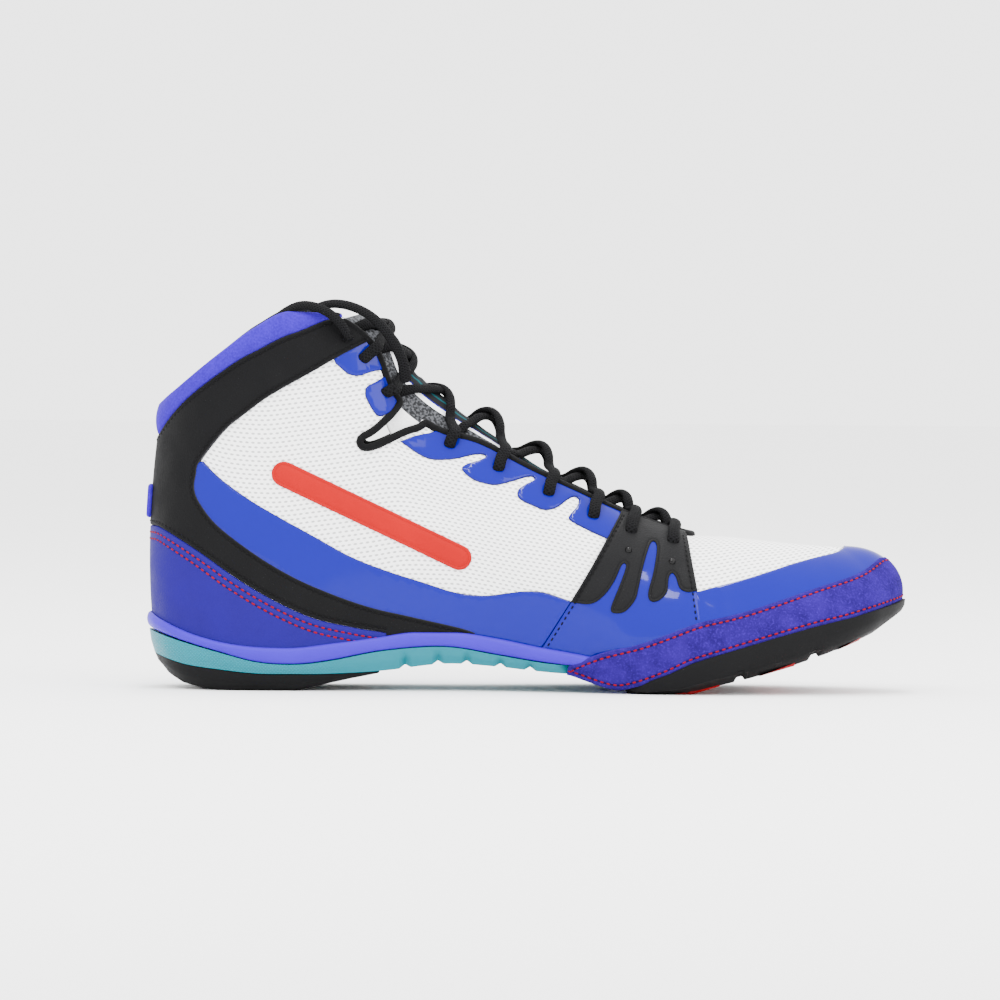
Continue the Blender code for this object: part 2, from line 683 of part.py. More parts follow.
def build_midsole():
    """Midsole with its band: it shows along the rear and lies in the outsole's cup in front."""
    def bottom(x):
        front = height_on(TREAD_BOTTOM, x) + OUTSOLE_THICKNESS + SOLE_GAP
        return front if x > along(OUTSOLE_REAR) else sole_height("band_bottom", x)

    edge = BAND_PROUD - BAND_ROUNDING
    sides = [(easing(proud, -tuck), height) for proud, tuck, height
             in zip((edge, BAND_PROUD, BAND_PROUD, edge), MIDSOLE_TUCK, (0.0, 0.3, 0.7, 1.0))]
    loops = [sole_loop(place, sides, foot_top(-FOOT_GAP), bottom) for place in places_between(0, 19)]
    closed_loft("midsole", loops, "band", False, True)


def build_rear_sole():
    """Turquoise sole under the heel and the arch."""
    def top(station):
        return sole_height("band_bottom", foot_point(station).x) - SOLE_GAP

    def bottom(x):
        return sole_height("rear_bottom", x)

    sides = [(easing(proud, -REAR_SOLE_TUCK), height)
             for proud, height in zip(REAR_SOLE_PROUD, (0.0, 0.5, 1.0))]
    places = [place for place in places_between(0, 12) if foot_point(place).x < along(REAR_SOLE_END)]
    loops = [sole_loop(place, sides, top, bottom) for place in places]
    sole = closed_loft("rear_sole", loops, "turquoise", False, True)
    spans = [(along(x) - GROOVE_WIDTH / 2.0, along(x) + GROOVE_WIDTH / 2.0) for x in ARCH_NOTCHES]
    reach = sole_height("rear_bottom", along(ARCH_NOTCHES[1])) + ARCH_NOTCH_DEPTH
    cut_with(sole, side_boxes("arch_notches", spans, 0.0, reach), "DIFFERENCE")


def build_heel_pad():
    """Black rubber pad that the heel stands on."""
    def top(station):
        return sole_height("rear_bottom", foot_point(station).x) - SOLE_GAP

    def bottom(x):
        return height_on(PAD_BOTTOM, x)

    sides = [(fixed(-tuck), height) for tuck, height in zip(HEEL_PAD_TUCK, (0.0, 0.55, 1.0))]
    places = [place for place in places_between(0, 8) if foot_point(place).x < along(HEEL_PAD_END)]
    loops = [sole_loop(place, sides, top, bottom) for place in places]
    closed_loft("heel_pad", loops, "black_rubber", False, True)


def outsole_section(place):
    """Half a section of the forefoot outsole, from its middle out over the rim and back under."""
    foot = foot_point(place)
    out = outward(place)
    bottom = height_on(TREAD_BOTTOM, foot.x)
    floor = bottom + OUTSOLE_THICKNESS
    start, end = (along(share) for share in CUP_SPAN)
    grown = min(max((foot.x - start) / (end - start), 0.0), 1.0)
    rim = max(height_on(GUARD_FOOT, foot.x) - SEAM_GAP, floor + CUP_LIP)
    rim_share = share_at_height(place, rim)
    low_share = share_at_height(place, (bottom + rim) / 2.0)
    insets = (TAIL_INSET + CUP_LIP, TAIL_INSET + CUP_LIP / 2.0, TAIL_INSET, TAIL_INSET)
    flat = [foot - out * inset for inset in insets]
    for point, height in zip(flat, (floor, floor, floor, bottom + TAIL_HEIGHT)):
        point.z = height
    wall = [foot + out * CUP_ROOT, skin(place, rim_share, LAYER_GAP),
            skin(place, rim_share, LAYER_GAP + CUP_WALL),
            skin(place, low_share, LAYER_GAP + CUP_WALL * CUP_DRAFT)]
    wall[0].z = floor
    points = [near.lerp(far, grown) for near, far in zip(flat, wall)]
    edge = foot - out * TREAD_INSET
    edge.z = height_on(TREAD_BOTTOM, edge.x)
    return points + [edge]


def build_outsole():
    """Forefoot outsole: a cup whose wall rises round the toe, cut by two flex grooves."""
    loops = []
    for place in places_between(12, 20):
        medial = outsole_section(place)
        lateral = outsole_section(RING - place)
        under = (medial[-1] + lateral[-1]) / 2.0
        under.z = height_on(TREAD_BOTTOM, under.x)
        over = (medial[0] + lateral[0]) / 2.0
        loops.append(medial + [under] + lateral[::-1] + [over])
    outsole = closed_loft("forefoot_outsole", loops, "black_rubber", True, False)
    for index, x in enumerate(FLEX_GROOVES):
        spans = [(along(x) - GROOVE_WIDTH / 2.0, along(x) + GROOVE_WIDTH / 2.0)]
        top = height_on(TREAD_BOTTOM, along(x)) + GROOVE_DEPTH
        cut_with(outsole, side_boxes(f"flex_groove_{index + 1}", spans, -GROOVE_DEPTH, top), "DIFFERENCE")


def build_insole():
    """Insole inside the upper's foot."""
    sides = ((fixed(-INSOLE_INSET), 0.0), (fixed(INSOLE_DRAFT - INSOLE_INSET), 1.0))
    loops = []
    for place in places_between(1, 19):
        loop = sole_loop(place, sides, foot_top(INSOLE_THICKNESS), lambda x: 0.0)
        half = len(loop) // 2
        for index, point in enumerate(loop):
            station = place if index < half else RING - place
            if index in (1, 2, 3):
                point.z = foot_point(station).z + SOLE_GAP
        loops.append(loop)
    closed_loft("insole", loops, "lining", True, True)


# Tongue and laces


def tongue_crown(place):
    """How far the tongue arches out between the throat edges."""
    rows = TONGUE_ROWS
    for near, far in zip(rows, rows[1:]):
        if place <= far.rib:
            share = (place - near.rib) / (far.rib - near.rib)
            return (near.crown + (far.crown - near.crown) * share) * BALL_WIDTH
    return rows[-1].crown * BALL_WIDTH


def tongue_point(place, share, depth):
    """Point of the tongue; share runs from the medial edge of the throat to the lateral one."""
    other = RING - place
    medial = skin(place, THROAT_SHARE, -TONGUE_DEPTH - depth)
    lateral = skin(other, THROAT_SHARE, -TONGUE_DEPTH - depth)
    rise = (surface_normal(place, THROAT_SHARE) + surface_normal(other, THROAT_SHARE)).normalized()
    arch = math.sin(math.pi * share)
    return medial.lerp(lateral, share) + rise * tongue_crown(place) * arch


def tongue_row(place, depth):
    """One row of the tongue, with its hidden margins under the throat edges."""
    hidden = -TONGUE_DEPTH - depth
    row = [skin(place, share, hidden) for share in TONGUE_MARGINS]
    row += [tongue_point(place, step / 6.0, depth) for step in range(7)]
    return row + [skin(RING - place, share, hidden) for share in TONGUE_MARGINS[::-1]]


def build_tongue():
    """The tongue: an arched padded sheet under the throat."""
    count = 13
    first = TONGUE_ROWS[0].rib
    last = TONGUE_ROWS[-1].rib
    places = [first + (last - first) * index / count for index in range(count + 1)]
    outer = [tongue_row(place, 0.0) for place in places]
    inner = [tongue_row(place, TONGUE_THICKNESS) for place in places]
    closed_wall("tongue", outer, inner, "tongue_cloth")


def lace_tube(name, points, ups, finish, collection=None):
    """A flat oval lace along its middle line, turned to lie on what is under it."""
    loops = []
    last = len(points) - 1
    for index, point in enumerate(points):
        heading = (points[min(index + 1, last)] - points[max(index - 1, 0)]).normalized()
        wide = heading.cross(ups[index]).normalized()
        thick = wide.cross(heading).normalized()
        loop = []
        for step in range(LACE_SIDES):
            angle = 2.0 * math.pi * step / LACE_SIDES
            loop.append(point + wide * math.cos(angle) * LACE_WIDTH / 2.0
                        + thick * math.sin(angle) * LACE_THICKNESS / 2.0)
        loops.append(loop)
    return closed_loft(name, loops, finish, True, True)


def strand(near, far, medial_first):
    """Middle line of a strand from an eyelet over the tongue to the far edge of the throat."""
    lift = LACE_THICKNESS / 2.0 + STRAND_LIFT
    start = near if medial_first else RING - near
    over = LAYER_GAP + CAGE_THICKNESS + LACE_THICKNESS / 2.0 + LACE_GAP
    points = [skin(start, share, over + extra) for share, extra in zip(STRAND_RISE, (0.0, STRAND_LIFT))]
    ups = [surface_normal(start, share) for share in STRAND_RISE]
    for share in STRAND_CROSSING:
        place = near + (far - near) * share
        across = share if medial_first else 1.0 - share
        rise = (surface_normal(place, THROAT_SHARE)
                + surface_normal(RING - place, THROAT_SHARE)).normalized()
        bridge = LACE_THICKNESS / 2.0 + STRAND_CLEARANCE + (1.0 - share) * STRAND_BRIDGE
        points.append(tongue_point(place, across, -lift) + rise * bridge)
        ups.append(rise)
    return points, ups


def side_boxes(name, spans, low, high):
    """A cutter of boxes across the shoe, each between two places along it."""
    mesh = bmesh.new()
    for start, end in spans:
        size = Vector((end - start, 3.0 * BALL_WIDTH, high - low))
        centre = Vector(((start + end) / 2.0, 0.0, (low + high) / 2.0))
        grown = bmesh.ops.create_cube(mesh, size=1.0)
        bmesh.ops.scale(mesh, verts=grown["verts"], vec=size)
        bmesh.ops.translate(mesh, verts=grown["verts"], vec=centre)
    cutter = make_object(name + "_cutter", mesh, None, CUTTERS)
    cutter.hide_render = True
    cutter.display_type = "WIRE"
    return cutter


def build_laces():
    """Crossings of the lace, each pair of strands joined where they cross, and the lowest bar."""
    for index, (near, far) in enumerate(zip(EYELET_RIBS, EYELET_RIBS[1:]), start=1):
        points, ups = strand(near, far, True)
        crossing = lace_tube(f"lace_crossing_{index}", points, ups, "lace")
        points, ups = strand(near, far, False)
        other = lace_tube(f"lace_strand_{index}_cutter", points, ups, "lace")
        PARTS.objects.unlink(other)
        CUTTERS.objects.link(other)
        other.hide_render = True
        other.display_type = "WIRE"
        cut_with(crossing, other, "UNION")


def build_lace_end(name, route):
    """A free lace end along its own route."""
    points = smooth_line([Vector(point) for point in route], 2)
    curve = bpy.data.curves.new(name, "CURVE")
    curve.dimensions = "3D"
    curve.bevel_depth = LACE_THICKNESS / 2.0
    curve.bevel_resolution = 2
    curve.use_fill_caps = True
    spline = curve.splines.new("POLY")
    spline.points.add(len(points) - 1)
    for target, point in zip(spline.points, points):
        target.co = (*point, 1.0)
    curve.materials.append(finish_of("lace"))
    PARTS.objects.link(bpy.data.objects.new(name, curve))


def medial_places(first, last):
    """Stations of the medial side."""
    return places_between(first, last)


def lateral_places(first, last):
    """Stations of the lateral side."""
    return places_between(RING - last, RING - first)


build_upper()
build_heel_panels()
build_toe_panels()
for SIDE, PLACES in (("medial", medial_places), ("lateral", lateral_places)):
    build_patent_panels(SIDE, PLACES)
    build_side_trim(SIDE, PLACES)
build_midsole()
build_rear_sole()
build_heel_pad()
build_outsole()
build_insole()
build_tongue()
build_laces()
build_lace_end("lace_end_rear", LACE_END_REAR)
build_lace_end("lace_end_front", LACE_END_FRONT)
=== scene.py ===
"""The looks of a left wrestling shoe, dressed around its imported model.

Metres, +Z up, toe along +X, medial side towards -Y. The tables hold shares of the shoe's length (x), of
its ball width (y) and of its shaft height (z), the same shares that the solids follow.
"""
from __future__ import annotations

import logging
import math
from collections.abc import Callable
from dataclasses import dataclass, field
from enum import Enum

import bpy
import numpy as np
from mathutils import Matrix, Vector
from mathutils.geometry import delaunay_2d_cdt
from mathutils.kdtree import KDTree


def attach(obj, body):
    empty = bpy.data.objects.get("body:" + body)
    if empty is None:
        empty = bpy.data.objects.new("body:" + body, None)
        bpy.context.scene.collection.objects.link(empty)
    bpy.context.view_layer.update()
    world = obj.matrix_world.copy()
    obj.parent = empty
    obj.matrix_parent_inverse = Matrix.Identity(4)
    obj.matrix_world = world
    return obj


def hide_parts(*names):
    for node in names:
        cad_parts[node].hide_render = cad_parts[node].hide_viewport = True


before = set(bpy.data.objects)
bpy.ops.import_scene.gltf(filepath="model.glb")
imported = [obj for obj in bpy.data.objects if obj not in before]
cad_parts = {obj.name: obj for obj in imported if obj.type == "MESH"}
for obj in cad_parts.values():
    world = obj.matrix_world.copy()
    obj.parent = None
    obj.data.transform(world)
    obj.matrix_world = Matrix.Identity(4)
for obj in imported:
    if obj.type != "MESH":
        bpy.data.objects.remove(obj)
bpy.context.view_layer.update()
LOG = logging.getLogger("wrestling_shoe")
Array = np.ndarray
Line = tuple[tuple[float, float], ...]

MM = 0.001
BODY = "root"
MERGE = 1e-6
SWEEP_SIDES = 16
OUTLINE_STEP = 0.0008

# Ribs of the last, heel to toe: each runs from the foot line up to the collar, throat or ridge
RIB_COLUMNS = ("foot_x", "foot_in", "foot_out", "foot_z", "top_x", "top_half", "top_mid", "top_z",
               "low_out", "low_up", "high_out", "high_drop")
RIBS = (
    (0.010, 0.000, 0.000, 0.206, 0.022, 0.000, 0.000, 0.749, 0.022, 0.164, 0.036, 0.157),
    (0.028, 0.173, 0.179, 0.185, 0.036, 0.117, 0.000, 0.777, 0.022, 0.170, 0.015, 0.175),
    (0.069, 0.270, 0.281, 0.150, 0.062, 0.209, 0.000, 0.826, 0.020, 0.180, -0.010, 0.200),
    (0.124, 0.314, 0.327, 0.125, 0.097, 0.265, 0.000, 0.884, 0.015, 0.190, -0.020, 0.220),
    (0.186, 0.311, 0.337, 0.118, 0.141, 0.286, 0.000, 0.950, 0.015, 0.220, -0.010, 0.260),
    (0.248, 0.291, 0.347, 0.131, 0.190, 0.281, 0.000, 0.995, 0.020, 0.250, 0.000, 0.280),
    (0.303, 0.270, 0.352, 0.146, 0.245, 0.240, 0.000, 0.992, 0.025, 0.260, 0.030, 0.260),
    (0.355, 0.253, 0.357, 0.160, 0.298, 0.189, 0.000, 0.920, 0.030, 0.250, 0.060, 0.220),
    (0.407, 0.248, 0.367, 0.160, 0.326, 0.168, -0.003, 0.791, 0.035, 0.220, 0.090, 0.170),
    (0.462, 0.260, 0.388, 0.146, 0.379, 0.153, -0.008, 0.702, 0.040, 0.200, 0.110, 0.130),
    (0.517, 0.294, 0.418, 0.125, 0.438, 0.143, -0.014, 0.664, 0.045, 0.190, 0.130, 0.100),
    (0.572, 0.342, 0.454, 0.107, 0.507, 0.133, -0.020, 0.592, 0.045, 0.180, 0.150, 0.080),
    (0.628, 0.388, 0.483, 0.084, 0.572, 0.122, -0.028, 0.529, 0.045, 0.170, 0.170, 0.060),
    (0.683, 0.421, 0.493, 0.066, 0.634, 0.107, -0.036, 0.470, 0.045, 0.160, 0.190, 0.040),
    (0.734, 0.432, 0.480, 0.073, 0.700, 0.077, -0.044, 0.424, 0.045, 0.145, 0.210, 0.020),
    (0.772, 0.429, 0.459, 0.089, 0.724, 0.000, -0.050, 0.415, 0.045, 0.130, 0.230, 0.000),
    (0.814, 0.418, 0.438, 0.112, 0.766, 0.000, -0.053, 0.411, 0.040, 0.115, 0.220, 0.000),
    (0.862, 0.398, 0.390, 0.139, 0.814, 0.000, -0.055, 0.401, 0.035, 0.100, 0.190, 0.000),
    (0.912, 0.350, 0.318, 0.174, 0.859, 0.000, -0.054, 0.393, 0.030, 0.085, 0.160, 0.000),
    (0.960, 0.252, 0.196, 0.213, 0.897, 0.000, -0.052, 0.387, 0.025, 0.080, 0.130, 0.000),
    (0.992, 0.048, -0.048, 0.246, 0.924, 0.000, -0.050, 0.383, 0.025, 0.075, 0.130, 0.000),
)
TOE = len(RIBS) - 1
RING = 2 * TOE

# Edges seen from the side, rear to front, as (x, z)
COLLAR_LINE = ((-0.020, 0.630), (0.011, 0.643), (0.021, 0.686), (0.037, 0.733), (0.061, 0.783),
               (0.090, 0.829), (0.118, 0.870), (0.147, 0.902), (0.176, 0.930), (0.201, 0.951),
               (0.229, 0.977), (0.245, 1.010))
STRAP_INNER = ((0.434, 0.157), (0.413, 0.171), (0.343, 0.202), (0.294, 0.225), (0.245, 0.259),
               (0.196, 0.302), (0.147, 0.360), (0.098, 0.434), (0.074, 0.493), (0.066, 0.532),
               (0.068, 0.571), (0.073, 0.607), (0.104, 0.688), (0.133, 0.737), (0.161, 0.779),
               (0.201, 0.826), (0.225, 0.854), (0.248, 0.881), (0.287, 0.923))
STRAP_TIP = ((0.287, 0.923), (0.283, 0.945), (0.262, 0.985))
COUNTER_LINE = ((-0.020, 0.436), (0.008, 0.432), (0.025, 0.424), (0.074, 0.364), (0.123, 0.295),
                (0.172, 0.238), (0.221, 0.194), (0.270, 0.171), (0.296, 0.162), (0.318, 0.155))
PATENT_LINE = ((0.076, 0.606), (0.098, 0.562), (0.135, 0.509), (0.172, 0.465), (0.221, 0.411),
               (0.270, 0.357), (0.318, 0.319), (0.367, 0.288), (0.398, 0.268), (0.420, 0.259),
               (0.448, 0.256), (0.478, 0.264), (0.499, 0.269), (0.525, 0.266), (0.559, 0.244))
TOE_CAP_LINE = ((0.724, 0.272), (0.782, 0.302), (0.814, 0.321), (0.846, 0.341), (0.878, 0.358),
                (0.907, 0.371), (0.921, 0.387))
TOE_CAP_REAR = (0.715, 0.270)
GUARD_LINE = ((0.556, 0.070), (0.564, 0.081), (0.599, 0.110), (0.645, 0.133), (0.686, 0.162),
              (0.726, 0.192), (0.767, 0.210), (0.807, 0.233), (0.878, 0.280), (0.934, 0.316),
              (0.964, 0.355))
GUARD_FOOT = ((0.556, 0.050), (0.613, 0.014), (0.645, 0.021), (0.686, 0.052), (0.716, 0.081),
              (0.747, 0.101), (0.827, 0.149), (0.878, 0.178), (0.926, 0.202), (0.982, 0.239),
              (1.000, 0.254), (1.020, 0.262))
CAGE_REAR = ((0.506, 0.075), (0.524, 0.128), (0.559, 0.242), (0.590, 0.351), (0.622, 0.468))
CAGE_FRONT = ((0.728, 0.195), (0.723, 0.272), (0.710, 0.406))
CAGE_FINGERS = ((0.559, 0.242), (0.585, 0.238), (0.602, 0.260), (0.615, 0.297), (0.625, 0.340),
                (0.630, 0.335), (0.621, 0.282), (0.611, 0.225), (0.619, 0.214), (0.631, 0.221),
                (0.643, 0.251), (0.647, 0.282), (0.654, 0.344), (0.663, 0.395), (0.670, 0.384),
                (0.666, 0.323), (0.659, 0.267), (0.663, 0.246), (0.674, 0.249), (0.684, 0.271),
                (0.686, 0.305), (0.690, 0.319), (0.695, 0.309), (0.700, 0.280), (0.710, 0.269),
                (0.723, 0.272))
CAGE_DIMPLES = ((0.633, 0.375), (0.690, 0.346))
NOTCH = ((0.342, 0.775), (0.322, 0.725), (0.298, 0.682), (0.284, 0.668), (0.281, 0.655), (0.290, 0.650),
         (0.311, 0.666), (0.338, 0.693), (0.359, 0.705))
EYESTAY_TOP = ((0.246, 0.879), (0.262, 0.904), (0.284, 0.936))
EYESTAY_TOP_FRONT = ((0.323, 0.742), (0.304, 0.729), (0.289, 0.774), (0.287, 0.793), (0.290, 0.808),
                     (0.303, 0.822), (0.314, 0.838), (0.312, 0.850), (0.303, 0.849), (0.293, 0.844),
                     (0.279, 0.835), (0.267, 0.838), (0.260, 0.847), (0.246, 0.872))
EYESTAY_MID = ((0.333, 0.663), (0.359, 0.626), (0.379, 0.613), (0.406, 0.616), (0.427, 0.626),
               (0.441, 0.628), (0.446, 0.622), (0.437, 0.612), (0.420, 0.601), (0.415, 0.587),
               (0.430, 0.561), (0.457, 0.548), (0.481, 0.558), (0.498, 0.568), (0.508, 0.569),
               (0.509, 0.560), (0.497, 0.548), (0.488, 0.532), (0.491, 0.511), (0.514, 0.489),
               (0.524, 0.483), (0.535, 0.486), (0.544, 0.495), (0.553, 0.509), (0.562, 0.517),
               (0.568, 0.510), (0.566, 0.492), (0.556, 0.468), (0.557, 0.456), (0.575, 0.436),
               (0.602, 0.411), (0.618, 0.402), (0.626, 0.452))
EYESTAY_MID_REAR = ((0.372, 0.684), (0.352, 0.676), (0.333, 0.661))
ARCH_NOTCHES = (0.342, 0.385, 0.423, 0.467, 0.506)
FLEX_GROOVES = (0.779, 0.876)
BAR_ENDS = ((0.182, 0.575), (0.412, 0.356))

# Heights of the sole's layers under a place along the shoe, as (x, underside of the band, of the sole)
SOLE_ROWS = (
    (0.000, 0.165, 0.101), (0.050, 0.132, 0.070), (0.098, 0.105, 0.057), (0.147, 0.079, 0.047),
    (0.197, 0.073, 0.046), (0.245, 0.084, 0.047), (0.313, 0.110, 0.055), (0.393, 0.121, 0.074),
    (0.459, 0.102, 0.068), (0.509, 0.086, 0.058), (0.548, 0.077, 0.052), (0.640, 0.062, 0.040),
)
PAD_BOTTOM = ((-0.010, 0.090), (0.015, 0.056), (0.050, 0.018), (0.078, 0.004), (0.094, 0.000),
              (0.200, 0.000), (0.215, 0.008), (0.269, 0.032), (0.320, 0.052))
TREAD_BOTTOM = ((0.600, 0.012), (0.628, 0.002), (0.640, 0.000), (0.712, 0.000), (0.752, 0.024),
                (0.793, 0.044), (0.851, 0.079), (0.894, 0.109), (0.921, 0.131), (0.955, 0.160),
                (0.974, 0.184), (0.990, 0.210), (1.010, 0.232))

# Red inserts in the tread, as (start, end, height up the edge in metres)
TREAD_INSERTS = ((0.694, 0.754, 0.0032), (0.808, 0.855, 0.0012), (0.918, 0.950, 0.0010))

# Throat from its top rib to its base, tongue rows as (rib, arch), the eyelets as seen from the side, and
# the ribs at which the lace passes over the throat's edge
THROAT_TOP = 6.3
THROAT_BASE = 15.0
TONGUE_ROWS = ((6.2, 0.080), (7.0, 0.105), (8.0, 0.135), (9.0, 0.130), (10.0, 0.065), (11.0, 0.040),
               (12.0, 0.028), (13.0, 0.018), (14.4, 0.008))
EYELETS = ((0.261, 0.936), (0.283, 0.879), (0.312, 0.788), (0.398, 0.650), (0.462, 0.588), (0.528, 0.523),
           (0.587, 0.463), (0.636, 0.420), (0.691, 0.393))
RIM_RIBS = (6.45, 7.00, 7.88, 9.45, 10.45, 11.40, 12.32, 13.10, 13.85)

TONGUE_DEPTH = 0.0029
TONGUE_SHARE = 0.999

# Free lace ends, from the top crossing over the collar and into the opening, in metres
LACE_END_REAR = ((0.0345, -0.0268, 0.1350), (0.0312, -0.0288, 0.1405), (0.0250, -0.0292, 0.1450),
                 (0.0175, -0.0278, 0.1466), (0.0110, -0.0256, 0.1442), (0.0060, -0.0222, 0.1400),
                 (0.0030, -0.0195, 0.1350), (0.0020, -0.0180, 0.1285))
LACE_END_FRONT = ((0.0566, -0.0200, 0.1185), (0.0550, -0.0212, 0.1265), (0.0505, -0.0224, 0.1350),
                  (0.0440, -0.0230, 0.1420), (0.0365, -0.0228, 0.1460), (0.0285, -0.0206, 0.1472),
                  (0.0215, -0.0168, 0.1448), (0.0165, -0.0130, 0.1380), (0.0150, -0.0115, 0.1290))


class Side(Enum):
    """The two sides of the shoe, as the sign of a place."""

    MEDIAL = 1
    LATERAL = -1


@dataclass(frozen=True)
class Crease:
    """A soft trough or ridge in the upper, seen from the side."""

    start: tuple[float, float]
    end: tuple[float, float]
    depth: float
    width: float


CREASES = (
    Crease((0.300, 0.560), (0.400, 0.480), 0.0007, 0.0060),
    Crease((0.330, 0.610), (0.420, 0.560), -0.0006, 0.0050),
    Crease((0.560, 0.330), (0.640, 0.300), 0.0006, 0.0070),
    Crease((0.640, 0.200), (0.700, 0.330), 0.0005, 0.0050),
    Crease((0.110, 0.560), (0.190, 0.620), 0.0005, 0.0060),
)


def hermite(start: Array, end: Array, slope_start: Array, slope_end: Array, share: Array) -> Array:
    """Cubic from start to end with the given slopes.

    Args:
        start: the value at the start.
        end: the value at the end.
        slope_start: the slope at the start, over the whole span.
        slope_end: the slope at the end.
        share: how far along the span, nought to one.

    Returns:
        The value there.
    """
    square = share * share
    cube = square * share
    return (start * (2.0 * cube - 3.0 * square + 1.0) + slope_start * (cube - 2.0 * square + share)
            + end * (3.0 * square - 2.0 * cube) + slope_end * (cube - square))


def limited_slope(before: Array, after: Array) -> Array:
    """Slope at a station, kept small enough that the curve never overshoots."""
    size = np.minimum(np.abs(before + after) / 2.0, 3.0 * np.minimum(np.abs(before), np.abs(after)))
    return np.where(before * after <= 0.0, 0.0, np.copysign(size, before))


def unit(vectors: Array) -> Array:
    """The same directions with length one."""
    return vectors / np.maximum(np.linalg.norm(vectors, axis=-1, keepdims=True), 1e-12)


def smooth_path(points: Array, steps: int = 8) -> Array:
    """A rounder line through the same points.

    Args:
        points: the points, one a row.
        steps: how many pieces each span is cut into.

    Returns:
        The points of the rounder line.
    """
    padded = np.vstack([points[:1], points, points[-1:]])
    line = []
    for a, b, c, d in zip(padded, padded[1:], padded[2:], padded[3:]):
        for step in range(steps):
            line.append(hermite(b, c, (c - a) / 2.0, (d - b) / 2.0, step / steps))
    line.append(points[-1])
    return np.array(line)


def spaced(points: Array, step: float) -> Array:
    """The same line with evenly spaced points.

    Args:
        points: the points, one a row.
        step: the distance wanted between neighbours.

    Returns:
        The evenly spaced points, with both ends kept.
    """
    lengths = np.concatenate([[0.0], np.cumsum(np.linalg.norm(np.diff(points, axis=0), axis=1))])
    count = max(2, int(round(lengths[-1] / step)) + 1)
    marks = np.linspace(0.0, lengths[-1], count)
    return np.stack([np.interp(marks, lengths, column) for column in points.T], axis=1)


def relaxed(line: Array, rounds: int) -> Array:
    """The same line with its inner rows drawn towards their neighbours.

    Args:
        line: the points or values, one a row.
        rounds: how often they are drawn.

    Returns:
        The softened line.
    """
    line = line.copy()
    for _ in range(rounds):
        line[1:-1] = (line[:-2] + 2.0 * line[1:-1] + line[2:]) / 4.0
    return line


def inside(outline: Array, points: Array) -> Array:
    """Which points lie inside a closed outline in the plane.

    Args:
        outline: the outline's corners.
        points: the points to test.

    Returns:
        One truth value for each point.
    """
    result = np.zeros(len(points), dtype=bool)
    x, y = points[:, 0], points[:, 1]
    for (x0, y0), (x1, y1) in zip(outline, np.roll(outline, -1, axis=0)):
        if y0 != y1:
            crosses = (y0 > y) != (y1 > y)
            result ^= crosses & (x < x0 + (y - y0) * (x1 - x0) / (y1 - y0))
    return result


def nearest(targets: Array, points: Array) -> Array:
    """Distance from each point to the nearest target.

    Args:
        targets: the points to measure to.
        points: the points to measure from.

    Returns:
        One distance for each point.
    """
    tree = KDTree(len(targets))
    for index, target in enumerate(targets):
        tree.insert(target, index)
    tree.balance()
    return np.array([tree.find(point)[2] for point in points])


